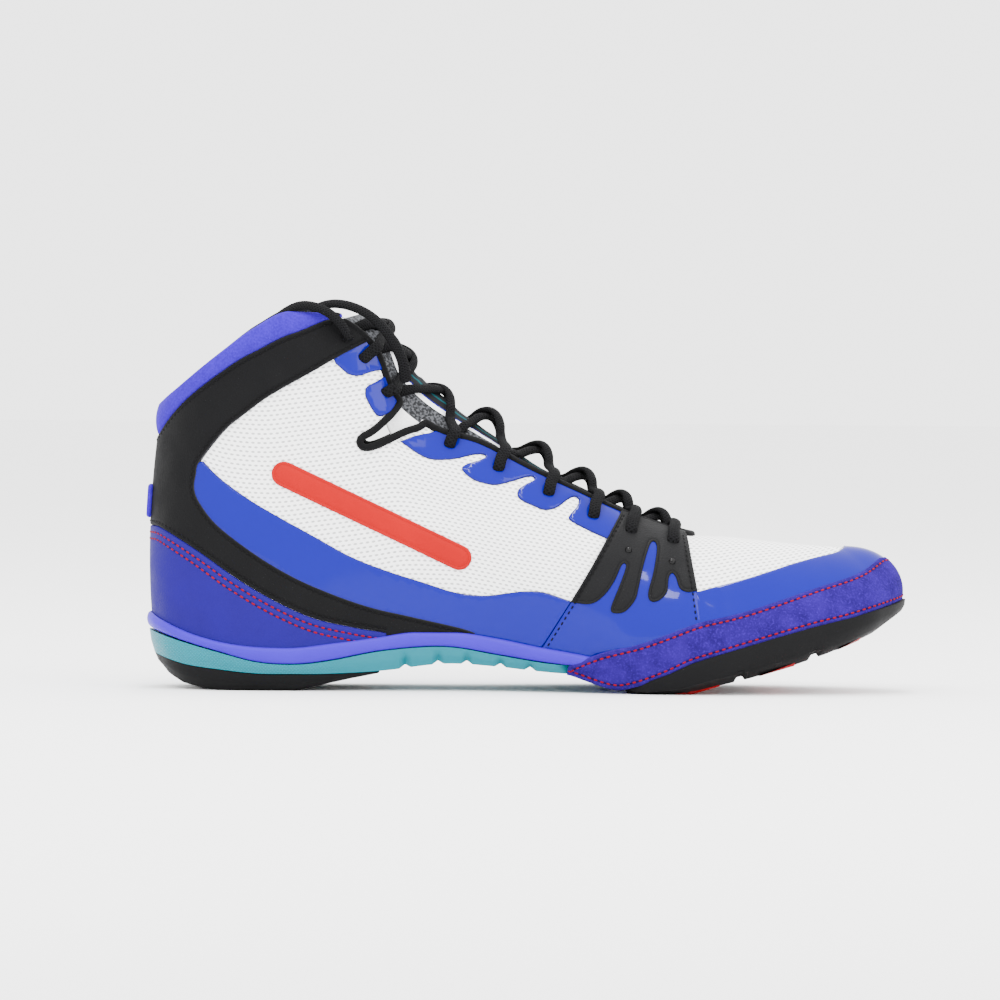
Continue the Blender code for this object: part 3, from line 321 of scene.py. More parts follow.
@dataclass
class Last:
    """The smooth last: place runs round the shoe from the heel, share runs up a rib."""

    length: float = 0.290
    ball: float = 0.098
    shaft: float = 0.1435
    heel_rest: float = 0.145
    wall: float = 0.0020
    creases: tuple[Crease, ...] = CREASES
    rings: dict[str, Array] = field(init=False)

    def __post_init__(self) -> None:
        """Close each column of the ribs into a ring."""
        columns = dict(zip(RIB_COLUMNS, np.array(RIBS).T))
        columns["foot_y"] = -columns["foot_in"]
        lateral = {**columns, "foot_y": columns["foot_out"]}
        columns["top_half"] = -columns["top_half"]
        self.rings = {name: np.concatenate([columns[name], lateral[name][-2:0:-1]]) for name in columns}

    def along(self, share: Array) -> Array:
        """World x of a share of the shoe's length."""
        return (np.asarray(share) - self.heel_rest) * self.length

    def side_view(self, points: Line) -> Array:
        """World x and z of a line given in shares."""
        table = np.array(points)
        return np.stack([self.along(table[:, 0]), table[:, 1] * self.shaft], axis=1)

    def value(self, name: str, place: Array) -> Array:
        """Smooth value of one of the ribs' columns.

        Args:
            name: the column.
            place: the places to read it at.

        Returns:
            One value for each place.
        """
        values = self.rings[name]
        index = np.floor(place).astype(int)
        a, b, c, d = (values[(index + k) % RING] for k in (-1, 0, 1, 2))
        return hermite(b, c, limited_slope(b - a, c - b), limited_slope(c - b, d - c), place - index)

    def foot(self, place: Array) -> Array:
        """Point of the foot line, where the upper meets the sole."""
        return np.stack([self.along(self.value("foot_x", place)), self.value("foot_y", place) * self.ball,
                         self.value("foot_z", place) * self.shaft], axis=-1)

    def outward(self, place: Array) -> Array:
        """Level direction out of the shoe, square to the foot line."""
        ahead = self.foot(place + 0.05) - self.foot(place - 0.05)
        return unit(np.stack([ahead[..., 1], -ahead[..., 0], np.zeros_like(ahead[..., 0])], axis=-1))

    def surface(self, place: Array, share: Array) -> Array:
        """Point of the last.

        Args:
            place: places round the shoe.
            share: shares up their ribs.

        Returns:
            One point for each pair.
        """
        place, share = np.broadcast_arrays(np.asarray(place, float), np.asarray(share, float))
        up = np.array((0.0, 0.0, 1.0))
        out = self.outward(place) * self.ball
        foot = self.foot(place)
        y = (self.value("top_mid", place) + self.value("top_half", place)) * self.ball
        top = np.stack([self.along(self.value("top_x", place)), y, self.value("top_z", place) * self.shaft],
                       axis=-1)
        low = (foot + out * self.value("low_out", place)[..., None]
               + up * self.value("low_up", place)[..., None] * self.shaft)
        high = (top + out * self.value("high_out", place)[..., None]
                - up * self.value("high_drop", place)[..., None] * self.shaft)
        t = share[..., None]
        r = 1.0 - t
        return foot * r ** 3 + low * 3.0 * r * r * t + high * 3.0 * r * t * t + top * t ** 3

    def slopes(self, place: Array, share: Array, step: float = 0.02) -> tuple[Array, Array]:
        """How the point moves with place and with share.

        Args:
            place: places round the shoe.
            share: shares up their ribs.
            step: how far to each side it is measured.

        Returns:
            The slope round the shoe and the slope up the rib.
        """
        round_way = self.surface(place + step, share) - self.surface(place - step, share)
        upward = self.surface(place, share + step) - self.surface(place, share - step)
        return round_way / (2.0 * step), upward / (2.0 * step)

    def normal(self, place: Array, share: Array) -> Array:
        """Direction out of the last's surface."""
        return unit(np.cross(*self.slopes(place, share)))

    def relief(self, points: Array) -> Array:
        """Height of the creases.

        Args:
            points: points of the last.

        Returns:
            One height for each point, below nought in a trough.
        """
        height = np.zeros(points.shape[:-1])
        for crease in self.creases:
            start, end = self.side_view((crease.start, crease.end))
            run = end - start
            offset = points[..., (0, 2)] - start
            share = np.clip((offset @ run) / (run @ run), 0.0, 1.0)
            gap = np.linalg.norm(offset - share[..., None] * run, axis=-1)
            height -= crease.depth * np.exp(-(gap / crease.width) ** 2)
        return height

    def skin(self, place: Array, share: Array, distance: Array | float) -> Array:
        """Point at a distance from the last's surface, the same from both sides of the ridge.

        Args:
            place: places round the shoe.
            share: shares up their ribs.
            distance: how far outside the surface, or inside it below nought.

        Returns:
            One point for each pair.
        """
        place, share = np.broadcast_arrays(np.asarray(place, float), np.asarray(share, float))
        base = self.surface(place, share)
        reach = (np.asarray(distance) + self.relief(base))[..., None]
        point = base + self.normal(place, share) * reach
        zipped = ((share > 1.0 - 1e-9) & (np.abs(self.value("top_half", place)) < 1e-9)
                  & (self.value("foot_x", place) > 0.5))
        if zipped.any():
            twin = self.surface(-place, share) + self.normal(-place, share) * reach
            point = np.where(zipped[..., None], (point + twin) / 2.0, point)
        return point

    def level(self, height: Callable[[Array], Array], places: Array, lowest: float = 0.0,
              highest: float = 1.0) -> Array:
        """How far up each rib it reaches a height.

        Args:
            height: the height to reach at world x.
            places: the ribs' places.
            lowest: where the search starts.
            highest: where it ends.

        Returns:
            One share for each place.
        """
        low = np.full(len(places), lowest)
        high = np.full(len(places), highest)
        for _ in range(30):
            middle = (low + high) / 2.0
            point = self.surface(places, middle)
            under = point[:, 2] < height(point[:, 0])
            low = np.where(under, middle, low)
            high = np.where(under, high, middle)
        return (low + high) / 2.0

    def collar_shares(self, places: Array) -> Array:
        """How far up each rib the collar starts, rounded off behind the heel.

        Args:
            places: the ribs' places.

        Returns:
            One share for each place.
        """
        grid = np.linspace(-6.4, 6.4, 257)
        shares = self.level(self.height_of(COLLAR_LINE, steps=6), grid)
        return np.interp(places, grid, relaxed(shares, 70))

    def height_of(self, line: Line, lift: float = 0.0, steps: int = 1) -> Callable[[Array], Array]:
        """The height of a side line as a rule of world x.

        Args:
            line: the line, in shares.
            lift: how much higher it is wanted.
            steps: into how many pieces each span is cut to round it.

        Returns:
            The rule.
        """
        table = self.side_view(line)
        if steps > 1:
            table = smooth_path(table, steps)
        return lambda x: np.interp(x, table[:, 0], table[:, 1]) + lift

    def locate(self, points: Array, side: Side) -> tuple[Array, Array]:
        """Places and shares of points seen from one side.

        Args:
            points: world x and z, one a row.
            side: the side they lie on.

        Returns:
            The places and the shares.
        """
        grid_places, grid_shares = np.meshgrid(np.linspace(0.3, TOE - 0.3, 118) * side.value,
                                               np.linspace(-0.1, 1.0, 45), indexing="ij")
        grid = self.surface(grid_places, grid_shares)[..., (0, 2)].reshape(-1, 2)
        first = np.array([np.argmin(((grid - point) ** 2).sum(axis=1)) for point in points])
        place = grid_places.ravel()[first].copy()
        share = grid_shares.ravel()[first].copy()
        for _ in range(14):
            miss = points - self.surface(place, share)[:, (0, 2)]
            by_place, by_share = (slope[:, (0, 2)] for slope in self.slopes(place, share, 0.004))
            area = by_place[:, 0] * by_share[:, 1] - by_place[:, 1] * by_share[:, 0]
            area = np.where(np.abs(area) < 1e-7, 1e-7, area)
            step_place = (miss[:, 0] * by_share[:, 1] - miss[:, 1] * by_share[:, 0]) / area
            step_share = (by_place[:, 0] * miss[:, 1] - by_place[:, 1] * miss[:, 0]) / area
            place += np.clip(step_place, -0.25, 0.25)
            share = np.clip(share + np.clip(step_share, -0.05, 0.05), -0.25, 1.0)
        return place, share

    def rib_length(self, place: Array, share: Array) -> Array:
        """Distance up a rib from the foot line."""
        marks = [self.surface(place, share * step / 10.0) for step in range(11)]
        return sum(np.linalg.norm(far - near, axis=-1) for near, far in zip(marks, marks[1:]))


LAST = Last()


@dataclass(frozen=True)
class StitchRow:
    """A row of stitches along an edge."""

    inset: float
    finish: str
    length: float = 0.0019
    gap: float = 0.0007
    width: float = 0.00075


@dataclass
class Edge:
    """One stretch of a panel's outline on the last, as places and shares."""

    places: Array
    shares: Array
    stitches: tuple[StitchRow, ...] = ()

    @classmethod
    def seen(cls, line: Line, side: Side, stitches: tuple[StitchRow, ...] = (), steps: int = 6) -> Edge:
        """An edge through points seen from one side."""
        places, shares = LAST.locate(smooth_path(LAST.side_view(line), steps), side)
        return cls(places, shares, stitches)

    @classmethod
    def level(cls, line: Line, first: float, last: float, stitches: tuple[StitchRow, ...] = (),
              lift: float = 0.0, lowest: float = 0.0) -> Edge:
        """An edge that follows a side line round the heel or the toe."""
        places = np.linspace(first, last, int(abs(last - first) * 12) + 2)
        return cls(places, LAST.level(LAST.height_of(line, lift, 6), places, lowest), stitches)

    @classmethod
    def straight(cls, first: tuple[float, float], last: tuple[float, float]) -> Edge:
        """An edge straight from one place and share to another."""
        count = int(abs(last[0] - first[0]) * 10) + 3
        return cls(np.linspace(first[0], last[0], count), np.linspace(first[1], last[1], count))

    def reversed(self) -> Edge:
        """The same edge run the other way."""
        return Edge(self.places[::-1], self.shares[::-1], self.stitches)

    def spaced(self, step: float) -> Edge:
        """The same edge with evenly spaced points.

        Args:
            step: the distance wanted between neighbours.

        Returns:
            The evenly spaced edge.
        """
        count = len(self.places)
        fine = np.linspace(0, count - 1, (count - 1) * 6 + 1)
        places = np.interp(fine, np.arange(count), self.places)
        shares = np.interp(fine, np.arange(count), self.shares)
        points = LAST.surface(places, shares)
        lengths = np.concatenate([[0.0], np.cumsum(np.linalg.norm(np.diff(points, axis=0), axis=1))])
        marks = np.linspace(0.0, lengths[-1], max(2, int(round(lengths[-1] / step)) + 1))
        return Edge(np.interp(marks, lengths, places), np.interp(marks, lengths, shares), self.stitches)

    def moved(self, distance: float, closed: bool = False) -> Edge:
        """The same edge moved to its left on the surface.

        Args:
            distance: how far it moves.
            closed: whether it is a closed loop.

        Returns:
            The moved edge.
        """
        if closed:
            run_place = np.roll(self.places, -1) - np.roll(self.places, 1)
            run_share = np.roll(self.shares, -1) - np.roll(self.shares, 1)
        else:
            run_place = np.gradient(self.places)
            run_share = np.gradient(self.shares)
        by_place, by_share = LAST.slopes(self.places, self.shares, 0.004)
        e = (by_place ** 2).sum(axis=1)
        f = (by_place * by_share).sum(axis=1)
        g = (by_share ** 2).sum(axis=1)
        size = np.sqrt(e * run_place ** 2 + 2.0 * f * run_place * run_share + g * run_share ** 2)
        area = np.sqrt(np.maximum(e * g - f * f, 1e-16))
        scale = distance / np.maximum(size * area, 1e-12)
        return Edge(self.places - (g * run_share + f * run_place) * scale,
                    self.shares + (f * run_share + e * run_place) * scale, self.stitches)


def place_seen(spot: tuple[float, float], side: Side) -> float:
    """The place of one point seen from a side."""
    return LAST.locate(LAST.side_view((spot,)), side)[0][0]


def new_object(name: str, points: Array, faces: list, finish: str, sharp: float = 60.0) -> bpy.types.Object:
    """A shaded mesh object that rides on the shoe.

    Args:
        name: the piece's name.
        points: its vertices.
        faces: its faces, as corners' numbers.
        finish: the name of its finish.
        sharp: the angle in degrees past which an edge stays sharp.

    Returns:
        The new object.
    """
    mesh = bpy.data.meshes.new(name)
    mesh.from_pydata([tuple(point) for point in points], [], faces)
    mesh.validate()
    mesh.shade_smooth()
    mesh.set_sharp_from_angle(angle=math.radians(sharp))
    piece = bpy.data.objects.new(name, mesh)
    bpy.context.scene.collection.objects.link(piece)
    mesh.materials.append(FINISHES[finish].material())
    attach(piece, BODY)
    return piece


def set_uv(piece: bpy.types.Object, u: Array, v: Array) -> None:
    """Give each corner the pattern coordinates of its vertex, in millimetres.

    Args:
        piece: the piece.
        u: the first coordinate of each vertex.
        v: the second.
    """
    mesh = piece.data
    corners = np.empty(len(mesh.loops), dtype=np.int32)
    mesh.loops.foreach_get("vertex_index", corners)
    layer = mesh.uv_layers.new(name="pattern")
    layer.data.foreach_set("uv", np.stack([u[corners], v[corners]], axis=1).astype(np.float32).ravel())


def set_attribute(piece: bpy.types.Object, name: str, values: Array) -> None:
    """Store one number for each vertex."""
    attribute = piece.data.attributes.new(name, "FLOAT", "POINT")
    attribute.data.foreach_set("value", values.astype(np.float32))


def wrap_grid(name: str, rows: Array, finish: str, cap_first: bool = True, cap_last: bool = True,
              sharp: float = 60.0) -> bpy.types.Object:
    """A tube through rows of points, each row a loop.

    Args:
        name: the piece's name.
        rows: points by row and column.
        finish: the name of its finish.
        cap_first: whether the first row is filled.
        cap_last: whether the last row is filled.
        sharp: the angle in degrees past which an edge stays sharp.

    Returns:
        The new object.
    """
    count, width = rows.shape[:2]
    faces = []
    for i in range(count - 1):
        for j in range(width):
            k = (j + 1) % width
            faces.append((i * width + j, i * width + k, (i + 1) * width + k, (i + 1) * width + j))
    if cap_first:
        faces.append(tuple(range(width))[::-1])
    if cap_last:
        faces.append(tuple(range((count - 1) * width, count * width)))
    return new_object(name, rows.reshape(-1, 3), faces, finish, sharp)


def finish_mesh(piece: bpy.types.Object) -> None:
    """Merge doubled points and turn every face outwards, in edit mode."""
    bpy.ops.object.select_all(action="DESELECT")
    piece.select_set(True)
    bpy.context.view_layer.objects.active = piece
    bpy.ops.object.mode_set(mode="EDIT")
    bpy.ops.mesh.select_all(action="SELECT")
    bpy.ops.mesh.remove_doubles(threshold=MERGE)
    bpy.ops.mesh.normals_make_consistent(inside=False)
    bpy.ops.object.mode_set(mode="OBJECT")
    piece.select_set(False)


@dataclass
class Panel:
    """A piece of the upper, cut flat in places and shares and then laid on the last."""

    name: str
    nodes: tuple[str, ...]
    edges: list[Edge]
    finish: str
    thickness: float
    base: float = -0.00005
    rounding: float = 0.0005
    columns: float = 10.0
    rows: float = 48.0
    rims: tuple[float, ...] = (0.00015, 0.0005)
    groove: float = 0.0
    groove_inset: float = 0.0012
    raised: Callable[[Array], Array] | None = None

    def outline(self) -> tuple[Edge, list[Edge]]:
        """The closed outline and the evenly spaced edges that make it.

        Returns:
            The outline and its edges, with the material on their left.
        """
        parts = [edge.spaced(OUTLINE_STEP) for edge in self.edges]
        places = np.concatenate([part.places[:-1] for part in parts])
        shares = np.concatenate([part.shares[:-1] for part in parts])
        turn = (places * np.roll(shares, -1) - np.roll(places, -1) * shares).sum()
        if turn < 0.0:
            return Edge(places[::-1], shares[::-1]), [part.reversed() for part in parts]
        return Edge(places, shares), parts

    def height(self, rim: Array) -> Array:
        """Height of the panel's top at a distance from its edge."""
        drop = (1.0 - np.minimum(rim / self.rounding, 1.0)) ** 2
        furrow = np.exp(-((rim - self.groove_inset) / 0.0003) ** 2)
        return self.thickness * (1.0 - 0.5 * drop) - self.groove * furrow

    def build(self) -> bpy.types.Object:
        """Cut the panel, lay it on the last and give it its stitches."""
        loop, parts = self.outline()
        loops = [loop] + [loop.moved(inset, closed=True) for inset in self.rims]
        ring = LAST.surface(loop.places, loop.shares)
        margin = (self.rims[-1] if self.rims else 0.0) + 0.0006
        first = math.floor(loop.places.min() * self.columns)
        last = math.ceil(loop.places.max() * self.columns)
        low = math.floor(loop.shares.min() * self.rows)
        high = math.ceil(loop.shares.max() * self.rows)
        grid = np.array([(i / self.columns, (j + 0.5 * (i % 2)) / self.rows)
                         for i in range(first, last + 1) for j in range(low, high + 1)])
        grid = grid[inside(np.stack([loop.places, loop.shares], axis=1), grid)]
        grid = grid[nearest(ring, LAST.surface(grid[:, 0], grid[:, 1])) > margin]
        flat = np.concatenate([np.stack([each.places, each.shares], axis=1) for each in loops] + [grid])
        scale = np.array((14.0, 60.0))
        ties = []
        start = 0
        for each in loops:
            count = len(each.places)
            ties += [(start + k, start + (k + 1) % count) for k in range(count)]
            start += count
        found = delaunay_2d_cdt([Vector(point) for point in flat * scale], ties, [], 0, 1e-5)
        spots = np.array(found[0]) / scale
        faces = np.array(found[2])
        middles = spots[faces].mean(axis=1)
        kept = inside(np.stack([loop.places, loop.shares], axis=1), middles)
        return self.lay(spots, faces[kept], ring, parts)

    def lay(self, spots: Array, faces: Array, ring: Array, parts: list[Edge]) -> bpy.types.Object:
        """Lay the cut panel on the last as a closed piece.

        Args:
            spots: places and shares of its points.
            faces: its triangles.
            ring: points of its outline, for the distance to the edge.
            parts: the edges of its outline.

        Returns:
            The finished piece.
        """
        used, faces = np.unique(faces, return_inverse=True)
        faces = faces.reshape(-1, 3)
        spots = spots[used]
        places, shares = spots[:, 0], spots[:, 1]
        rim = nearest(ring, LAST.surface(places, shares))
        base = self.base + (self.raised(LAST.surface(places, shares)) if self.raised else 0.0)
        top = LAST.skin(places, shares, base + self.height(rim))
        under = LAST.skin(places, shares, base)
        count = len(spots)
        sides = np.concatenate([faces[:, (0, 1)], faces[:, (1, 2)], faces[:, (2, 0)]])
        known = set(map(tuple, sides))
        walls = [(b, a, a + count, b + count) for a, b in known if (b, a) not in known]
        all_faces = [tuple(face) for face in faces] + [tuple(face[::-1] + count) for face in faces] + walls
        piece = new_object(self.name, np.concatenate([top, under]), all_faces, self.finish)
        u = LAST.surface(places, shares)[:, 0] / MM
        v = LAST.rib_length(places, shares) / MM
        set_uv(piece, np.tile(u, 2), np.tile(v, 2))
        set_attribute(piece, "rim", np.tile(rim / MM, 2))
        seams = [LAST.surface(part.moved(row.inset).places, part.moved(row.inset).shares)
                 for part in parts for row in part.stitches]
        seam = nearest(np.concatenate(seams), LAST.surface(places, shares)) if seams else rim + 1.0
        set_attribute(piece, "seam", np.tile(seam / MM, 2))
        if self.nodes:
            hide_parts(*self.nodes)
        for part in parts:
            for row in part.stitches:
                STITCHES.add(part, row, self.base + self.thickness, self.raised)
        LOG.info("%s: %d faces", self.name, len(all_faces))
        return piece


@dataclass
class StitchWork:
    """All the stitches, gathered by thread and joined into one piece for each."""

    rows: dict[str, list[Array]] = field(default_factory=dict)
    rings: int = 5
    sides: int = 8

    def add(self, edge: Edge, row: StitchRow, height: float,
            raised: Callable[[Array], Array] | None = None) -> None:
        """Set a row of stitches at a distance from an edge.

        Args:
            edge: the edge that it follows on its left.
            row: its distance from the edge, thread and stitch size.
            height: how high the leather's top lies over the last.
            raised: gives how much higher it lies at points of the last.
        """
        line = edge.moved(row.inset).spaced(row.length + row.gap)
        lift = raised(LAST.surface(line.places, line.shares)) if raised else 0.0
        points = LAST.skin(line.places, line.shares, height + lift)
        ups = LAST.normal(line.places, line.shares)
        self.place(points, ups, row)

    def place(self, points: Array, ups: Array, row: StitchRow) -> None:
        """Set one stitch on each span between points.

        Args:
            points: the needle's holes.
            ups: the direction out of the leather at each.
            row: the stitches' thread and size.
        """
        share = row.length / (row.length + row.gap)
        for near, far, up in zip(points, points[1:], ups):
            middle = (near + far) / 2.0
            self.rows.setdefault(row.finish, []).append(
                np.array([middle, (far - near) * share / 2.0, up, (row.width / 2.0,) * 3]))

    def build(self) -> None:
        """Join the stitches of each thread into one mesh."""
        turns = np.linspace(0.0, 2.0 * math.pi, self.sides, endpoint=False)
        marks = np.linspace(-1.0, 1.0, self.rings + 2)
        for finish, stitches in self.rows.items():
            points, faces = [], []
            for middle, half, up, size in stitches:
                wide = unit(np.cross(half, up)) * size[0]
                high = unit(np.cross(wide, half)) * size[0] * 0.8
                start = len(points)
                for mark in marks:
                    girth = max(1.0 - abs(mark) ** 3.0, 0.02) ** 0.5
                    sunk = middle + half * mark - high * 0.9 * mark * mark
                    points += [sunk + (wide * math.cos(t) + high * math.sin(t)) * girth for t in turns]
                for i in range(len(marks) - 1):
                    for j in range(self.sides):
                        k = (j + 1) % self.sides
                        a = start + i * self.sides
                        faces.append((a + j, a + self.sides + j, a + self.sides + k, a + k))
                faces.append(tuple(range(start, start + self.sides)))
                end = start + (len(marks) - 1) * self.sides
                faces.append(tuple(range(end, end + self.sides))[::-1])
            piece = new_object("stitches_" + finish, np.array(points), faces, finish)
            LOG.info("%s: %d stitches", piece.name, len(stitches))


STITCHES = StitchWork()


def sweep(name: str, path: Array, ups: Array, width: float, thickness: float, finish: str,
          power: float = 1.0) -> bpy.types.Object:
    """A flat oval cord along a path, rounded off at both ends.

    Args:
        name: the piece's name.
        path: points of its middle line.
        ups: the direction of its thickness at each point.
        width: its width.
        thickness: its thickness.
        finish: the name of its finish.
        power: below one the section is squarer.

    Returns:
        The new object.
    """
    heading = unit(np.gradient(path, axis=0))
    wide = unit(np.cross(heading, ups))
    thick = np.cross(wide, heading)
    turns = np.linspace(0.0, 2.0 * math.pi, SWEEP_SIDES, endpoint=False)
    across = np.copysign(np.abs(np.cos(turns)) ** power, np.cos(turns)) * width / 2.0
    upward = np.copysign(np.abs(np.sin(turns)) ** power, np.sin(turns)) * thickness / 2.0
    caps = [(math.sin(turn), math.cos(turn)) for turn in (0.25, 0.7, 1.15)]
    sections = ([(0, girth, -reach) for girth, reach in caps]
                + [(index, 1.0, 0.0) for index in range(len(path))]
                + [(len(path) - 1, girth, reach) for girth, reach in reversed(caps)])
    rows = []
    for index, girth, reach in sections:
        centre = path[index] + heading[index] * reach * thickness / 2.0
        rows.append(centre + girth * (across[:, None] * wide[index] + upward[:, None] * thick[index]))
    rows = np.array(rows)
    piece = wrap_grid(name, rows, finish)
    lengths = np.concatenate([[0.0], np.cumsum(np.linalg.norm(np.diff(path, axis=0), axis=1))])
    along = np.array([lengths[index] for index, _, _ in sections]) / MM
    around = np.abs(((turns / math.pi + 0.5) % 2.0) - 1.0) * (width + thickness) / 2.0 / MM
    set_uv(piece, np.repeat(along, SWEEP_SIDES), np.tile(around, len(rows)))
    return piece


# Finishes


def srgb(red: int, green: int, blue: int) -> tuple[float, float, float, float]:
    """A colour given as a screen shows it."""
    channels = [value / 255.0 for value in (red, green, blue)]
    linear = [c / 12.92 if c <= 0.04045 else ((c + 0.055) / 1.055) ** 2.4 for c in channels]
    return (*linear, 1.0)


class NodeSheet:
    """A material's nodes, written row by row."""

    def __init__(self, name: str) -> None:
        """Start an empty Principled material."""
        self.material = bpy.data.materials.new(name)
        self.material.use_nodes = True
        self.tree = self.material.node_tree
        self.shader = self.tree.nodes["Principled BSDF"]

    def node(self, kind: str, inputs: dict | None = None, **settings) -> bpy.types.Node:
        """Add a node.

        Args:
            kind: the node's type.
            inputs: values or sockets for its inputs.
            settings: its other settings.

        Returns:
            The new node.
        """
        item = self.tree.nodes.new(kind)
        for key, value in settings.items():
            setattr(item, key, value)
        for key, value in (inputs or {}).items():
            self.feed(item.inputs[key], value)
        return item

    def feed(self, socket: bpy.types.NodeSocket, value: object) -> None:
        """Set a socket's value, or link it."""
        if isinstance(value, bpy.types.NodeSocket):
            self.tree.links.new(value, socket)
        else:
            socket.default_value = value

    def place(self, uv: bool = False) -> bpy.types.NodeSocket:
        """Object coordinates, or the piece's own pattern coordinates."""
        return self.node("ShaderNodeTexCoord").outputs["UV" if uv else "Object"]

    def noise(self, scale: float, detail: float = 3.0) -> bpy.types.NodeSocket:
        """Cloudy noise."""
        inputs = {"Scale": scale, "Detail": detail, "Vector": self.place()}
        return self.node("ShaderNodeTexNoise", inputs).outputs["Fac"]

    def maths(self, operation: str, first: object, second: object = 0.0) -> bpy.types.NodeSocket:
        """One sum on two values."""
        return self.node("ShaderNodeMath", {0: first, 1: second}, operation=operation).outputs[0]

    def span(self, value: object, low: float, high: float, start: float = 0.0,
             end: float = 1.0) -> bpy.types.NodeSocket:
        """A value brought from one range smoothly into another."""
        inputs = {"Value": value, "From Min": low, "From Max": high, "To Min": start, "To Max": end}
        return self.node("ShaderNodeMapRange", inputs, interpolation_type="SMOOTHSTEP").outputs["Result"]

    def mix(self, share: object, first: object, second: object) -> bpy.types.NodeSocket:
        """A colour between two colours.

        Args:
            share: how much of the second shows.
            first: the first colour.
            second: the second colour.

        Returns:
            The mixed colour's socket.
        """
        item = self.node("ShaderNodeMix", data_type="RGBA")
        self.feed(item.inputs[0], share)
        self.feed(item.inputs[6], first)
        self.feed(item.inputs[7], second)
        return item.outputs[2]

    def attribute(self, name: str) -> bpy.types.NodeSocket:
        """A number stored on the mesh."""
        return self.node("ShaderNodeAttribute", attribute_name=name).outputs["Fac"]

    def bump(self, height: object, strength: float, distance: float,
             under: object = None) -> bpy.types.NodeSocket:
        """A bumped normal.

        Args:
            height: the height to follow.
            strength: how much of it shows.
            distance: the height of one unit, in metres.
            under: another bump that this one lies on.

        Returns:
            The normal's socket.
        """
        inputs = {"Height": height, "Strength": strength, "Distance": distance}
        if under is not None:
            inputs["Normal"] = under
        return self.node("ShaderNodeBump", inputs).outputs["Normal"]

    def shade(self, **values: object) -> None:
        """Set the shader's sockets, with spaces written as underscores."""
        for key, value in values.items():
            self.feed(self.shader.inputs[key.replace("_", " ")], value)


@dataclass(frozen=True)
class Finish:
    """A plain finish with a little cloudiness; the others add to it."""

    slot: str
    colour: tuple[int, int, int]
    roughness: float = 0.6

    def material(self) -> bpy.types.Material:
        """The material, made once.

        Returns:
            The material of this finish.
        """
        name = "look_" + next(key for key, value in FINISHES.items() if value is self)
        if name not in bpy.data.materials:
            self.dress(NodeSheet(name))
        return bpy.data.materials[name]

    def tint(self, factor: float) -> tuple[float, float, float, float]:
        """The finish's colour, made darker or lighter."""
        return (*(min(c * factor, 1.0) for c in srgb(*self.colour)[:3]), 1.0)

    def dress(self, sheet: NodeSheet) -> None:
        """Write the nodes.

        Args:
            sheet: the material's empty sheet.
        """
        cloud = sheet.noise(60.0)
        sheet.shade(Base_Color=sheet.mix(cloud, self.tint(0.9), self.tint(1.1)),
                    Roughness=sheet.span(cloud, 0.3, 0.7, self.roughness - 0.05, self.roughness + 0.05),
                    Normal=sheet.bump(sheet.noise(900.0), 0.15, 0.0002), Specular_IOR_Level=0.08)


@dataclass(frozen=True)
class Patent(Finish):
    """Glossy film over leather, with slow waves and painted shade darkening its rounded edge."""

    def dress(self, sheet: NodeSheet) -> None:
        """Write the nodes.

        Args:
            sheet: the material's empty sheet.
        """
        waves = sheet.bump(sheet.noise(45.0, 1.5), 0.30, 0.0010)
        pores = sheet.bump(sheet.noise(1400.0, 2.0), 0.05, 0.0001, waves)
        cloud = sheet.noise(24.0)
        colour = sheet.mix(cloud, self.tint(0.92), self.tint(1.08))
        # Painted shade: darker within about half a millimetre of the edge, where the rounded rim turns from
        # the light.
        edge = sheet.span(sheet.attribute("rim"), 0.12, 0.40, 0.75, 0.0)
        sheet.shade(Base_Color=sheet.mix(edge, colour, self.tint(0.25)), Normal=pores,
                    Roughness=sheet.span(cloud, 0.3, 0.7, self.roughness - 0.02, self.roughness + 0.03),
                    Coat_Weight=0.22, Coat_Roughness=0.03, Specular_IOR_Level=0.05)


@dataclass(frozen=True)
class Suede(Finish):
    """Short nap that lies in patches, with a painted highlight along its rounded edge and painted shade
    along the stitch rows.
    """

    def dress(self, sheet: NodeSheet) -> None:
        """Write the nodes.

        Args:
            sheet: the material's empty sheet.
        """
        patch = sheet.noise(150.0, 5.0)
        fibre = sheet.noise(1300.0, 4.0)
        colour = sheet.mix(sheet.span(patch, 0.3, 0.7), self.tint(0.70), self.tint(1.25))
        colour = sheet.mix(sheet.span(fibre, 0.45, 0.80), colour, self.tint(1.9))
        # Painted highlight: paler within half a millimetre of the edge, where the fuzzy rim catches the
        # light.
        edge = sheet.span(sheet.attribute("rim"), 0.0, 0.5, 0.5, 0.0)
        colour = sheet.mix(edge, colour, self.tint(1.9))
        # Painted shade: dark along each stitch row, standing in for shade in the groove and the holes
        # between the stitches.
        line = sheet.span(sheet.attribute("seam"), 0.15, 0.55, 0.85, 0.0)
        dip = sheet.span(sheet.attribute("seam"), 0.1, 1.0, -0.8, 0.0)
        sheet.shade(Base_Color=sheet.mix(line, colour, self.tint(0.12)), Roughness=self.roughness,
                    Normal=sheet.bump(sheet.maths("ADD", fibre, dip), 0.9, 0.0004), Sheen_Weight=0.12,
                    Sheen_Roughness=0.5, Sheen_Tint=self.tint(2.0), Specular_IOR_Level=0.06)


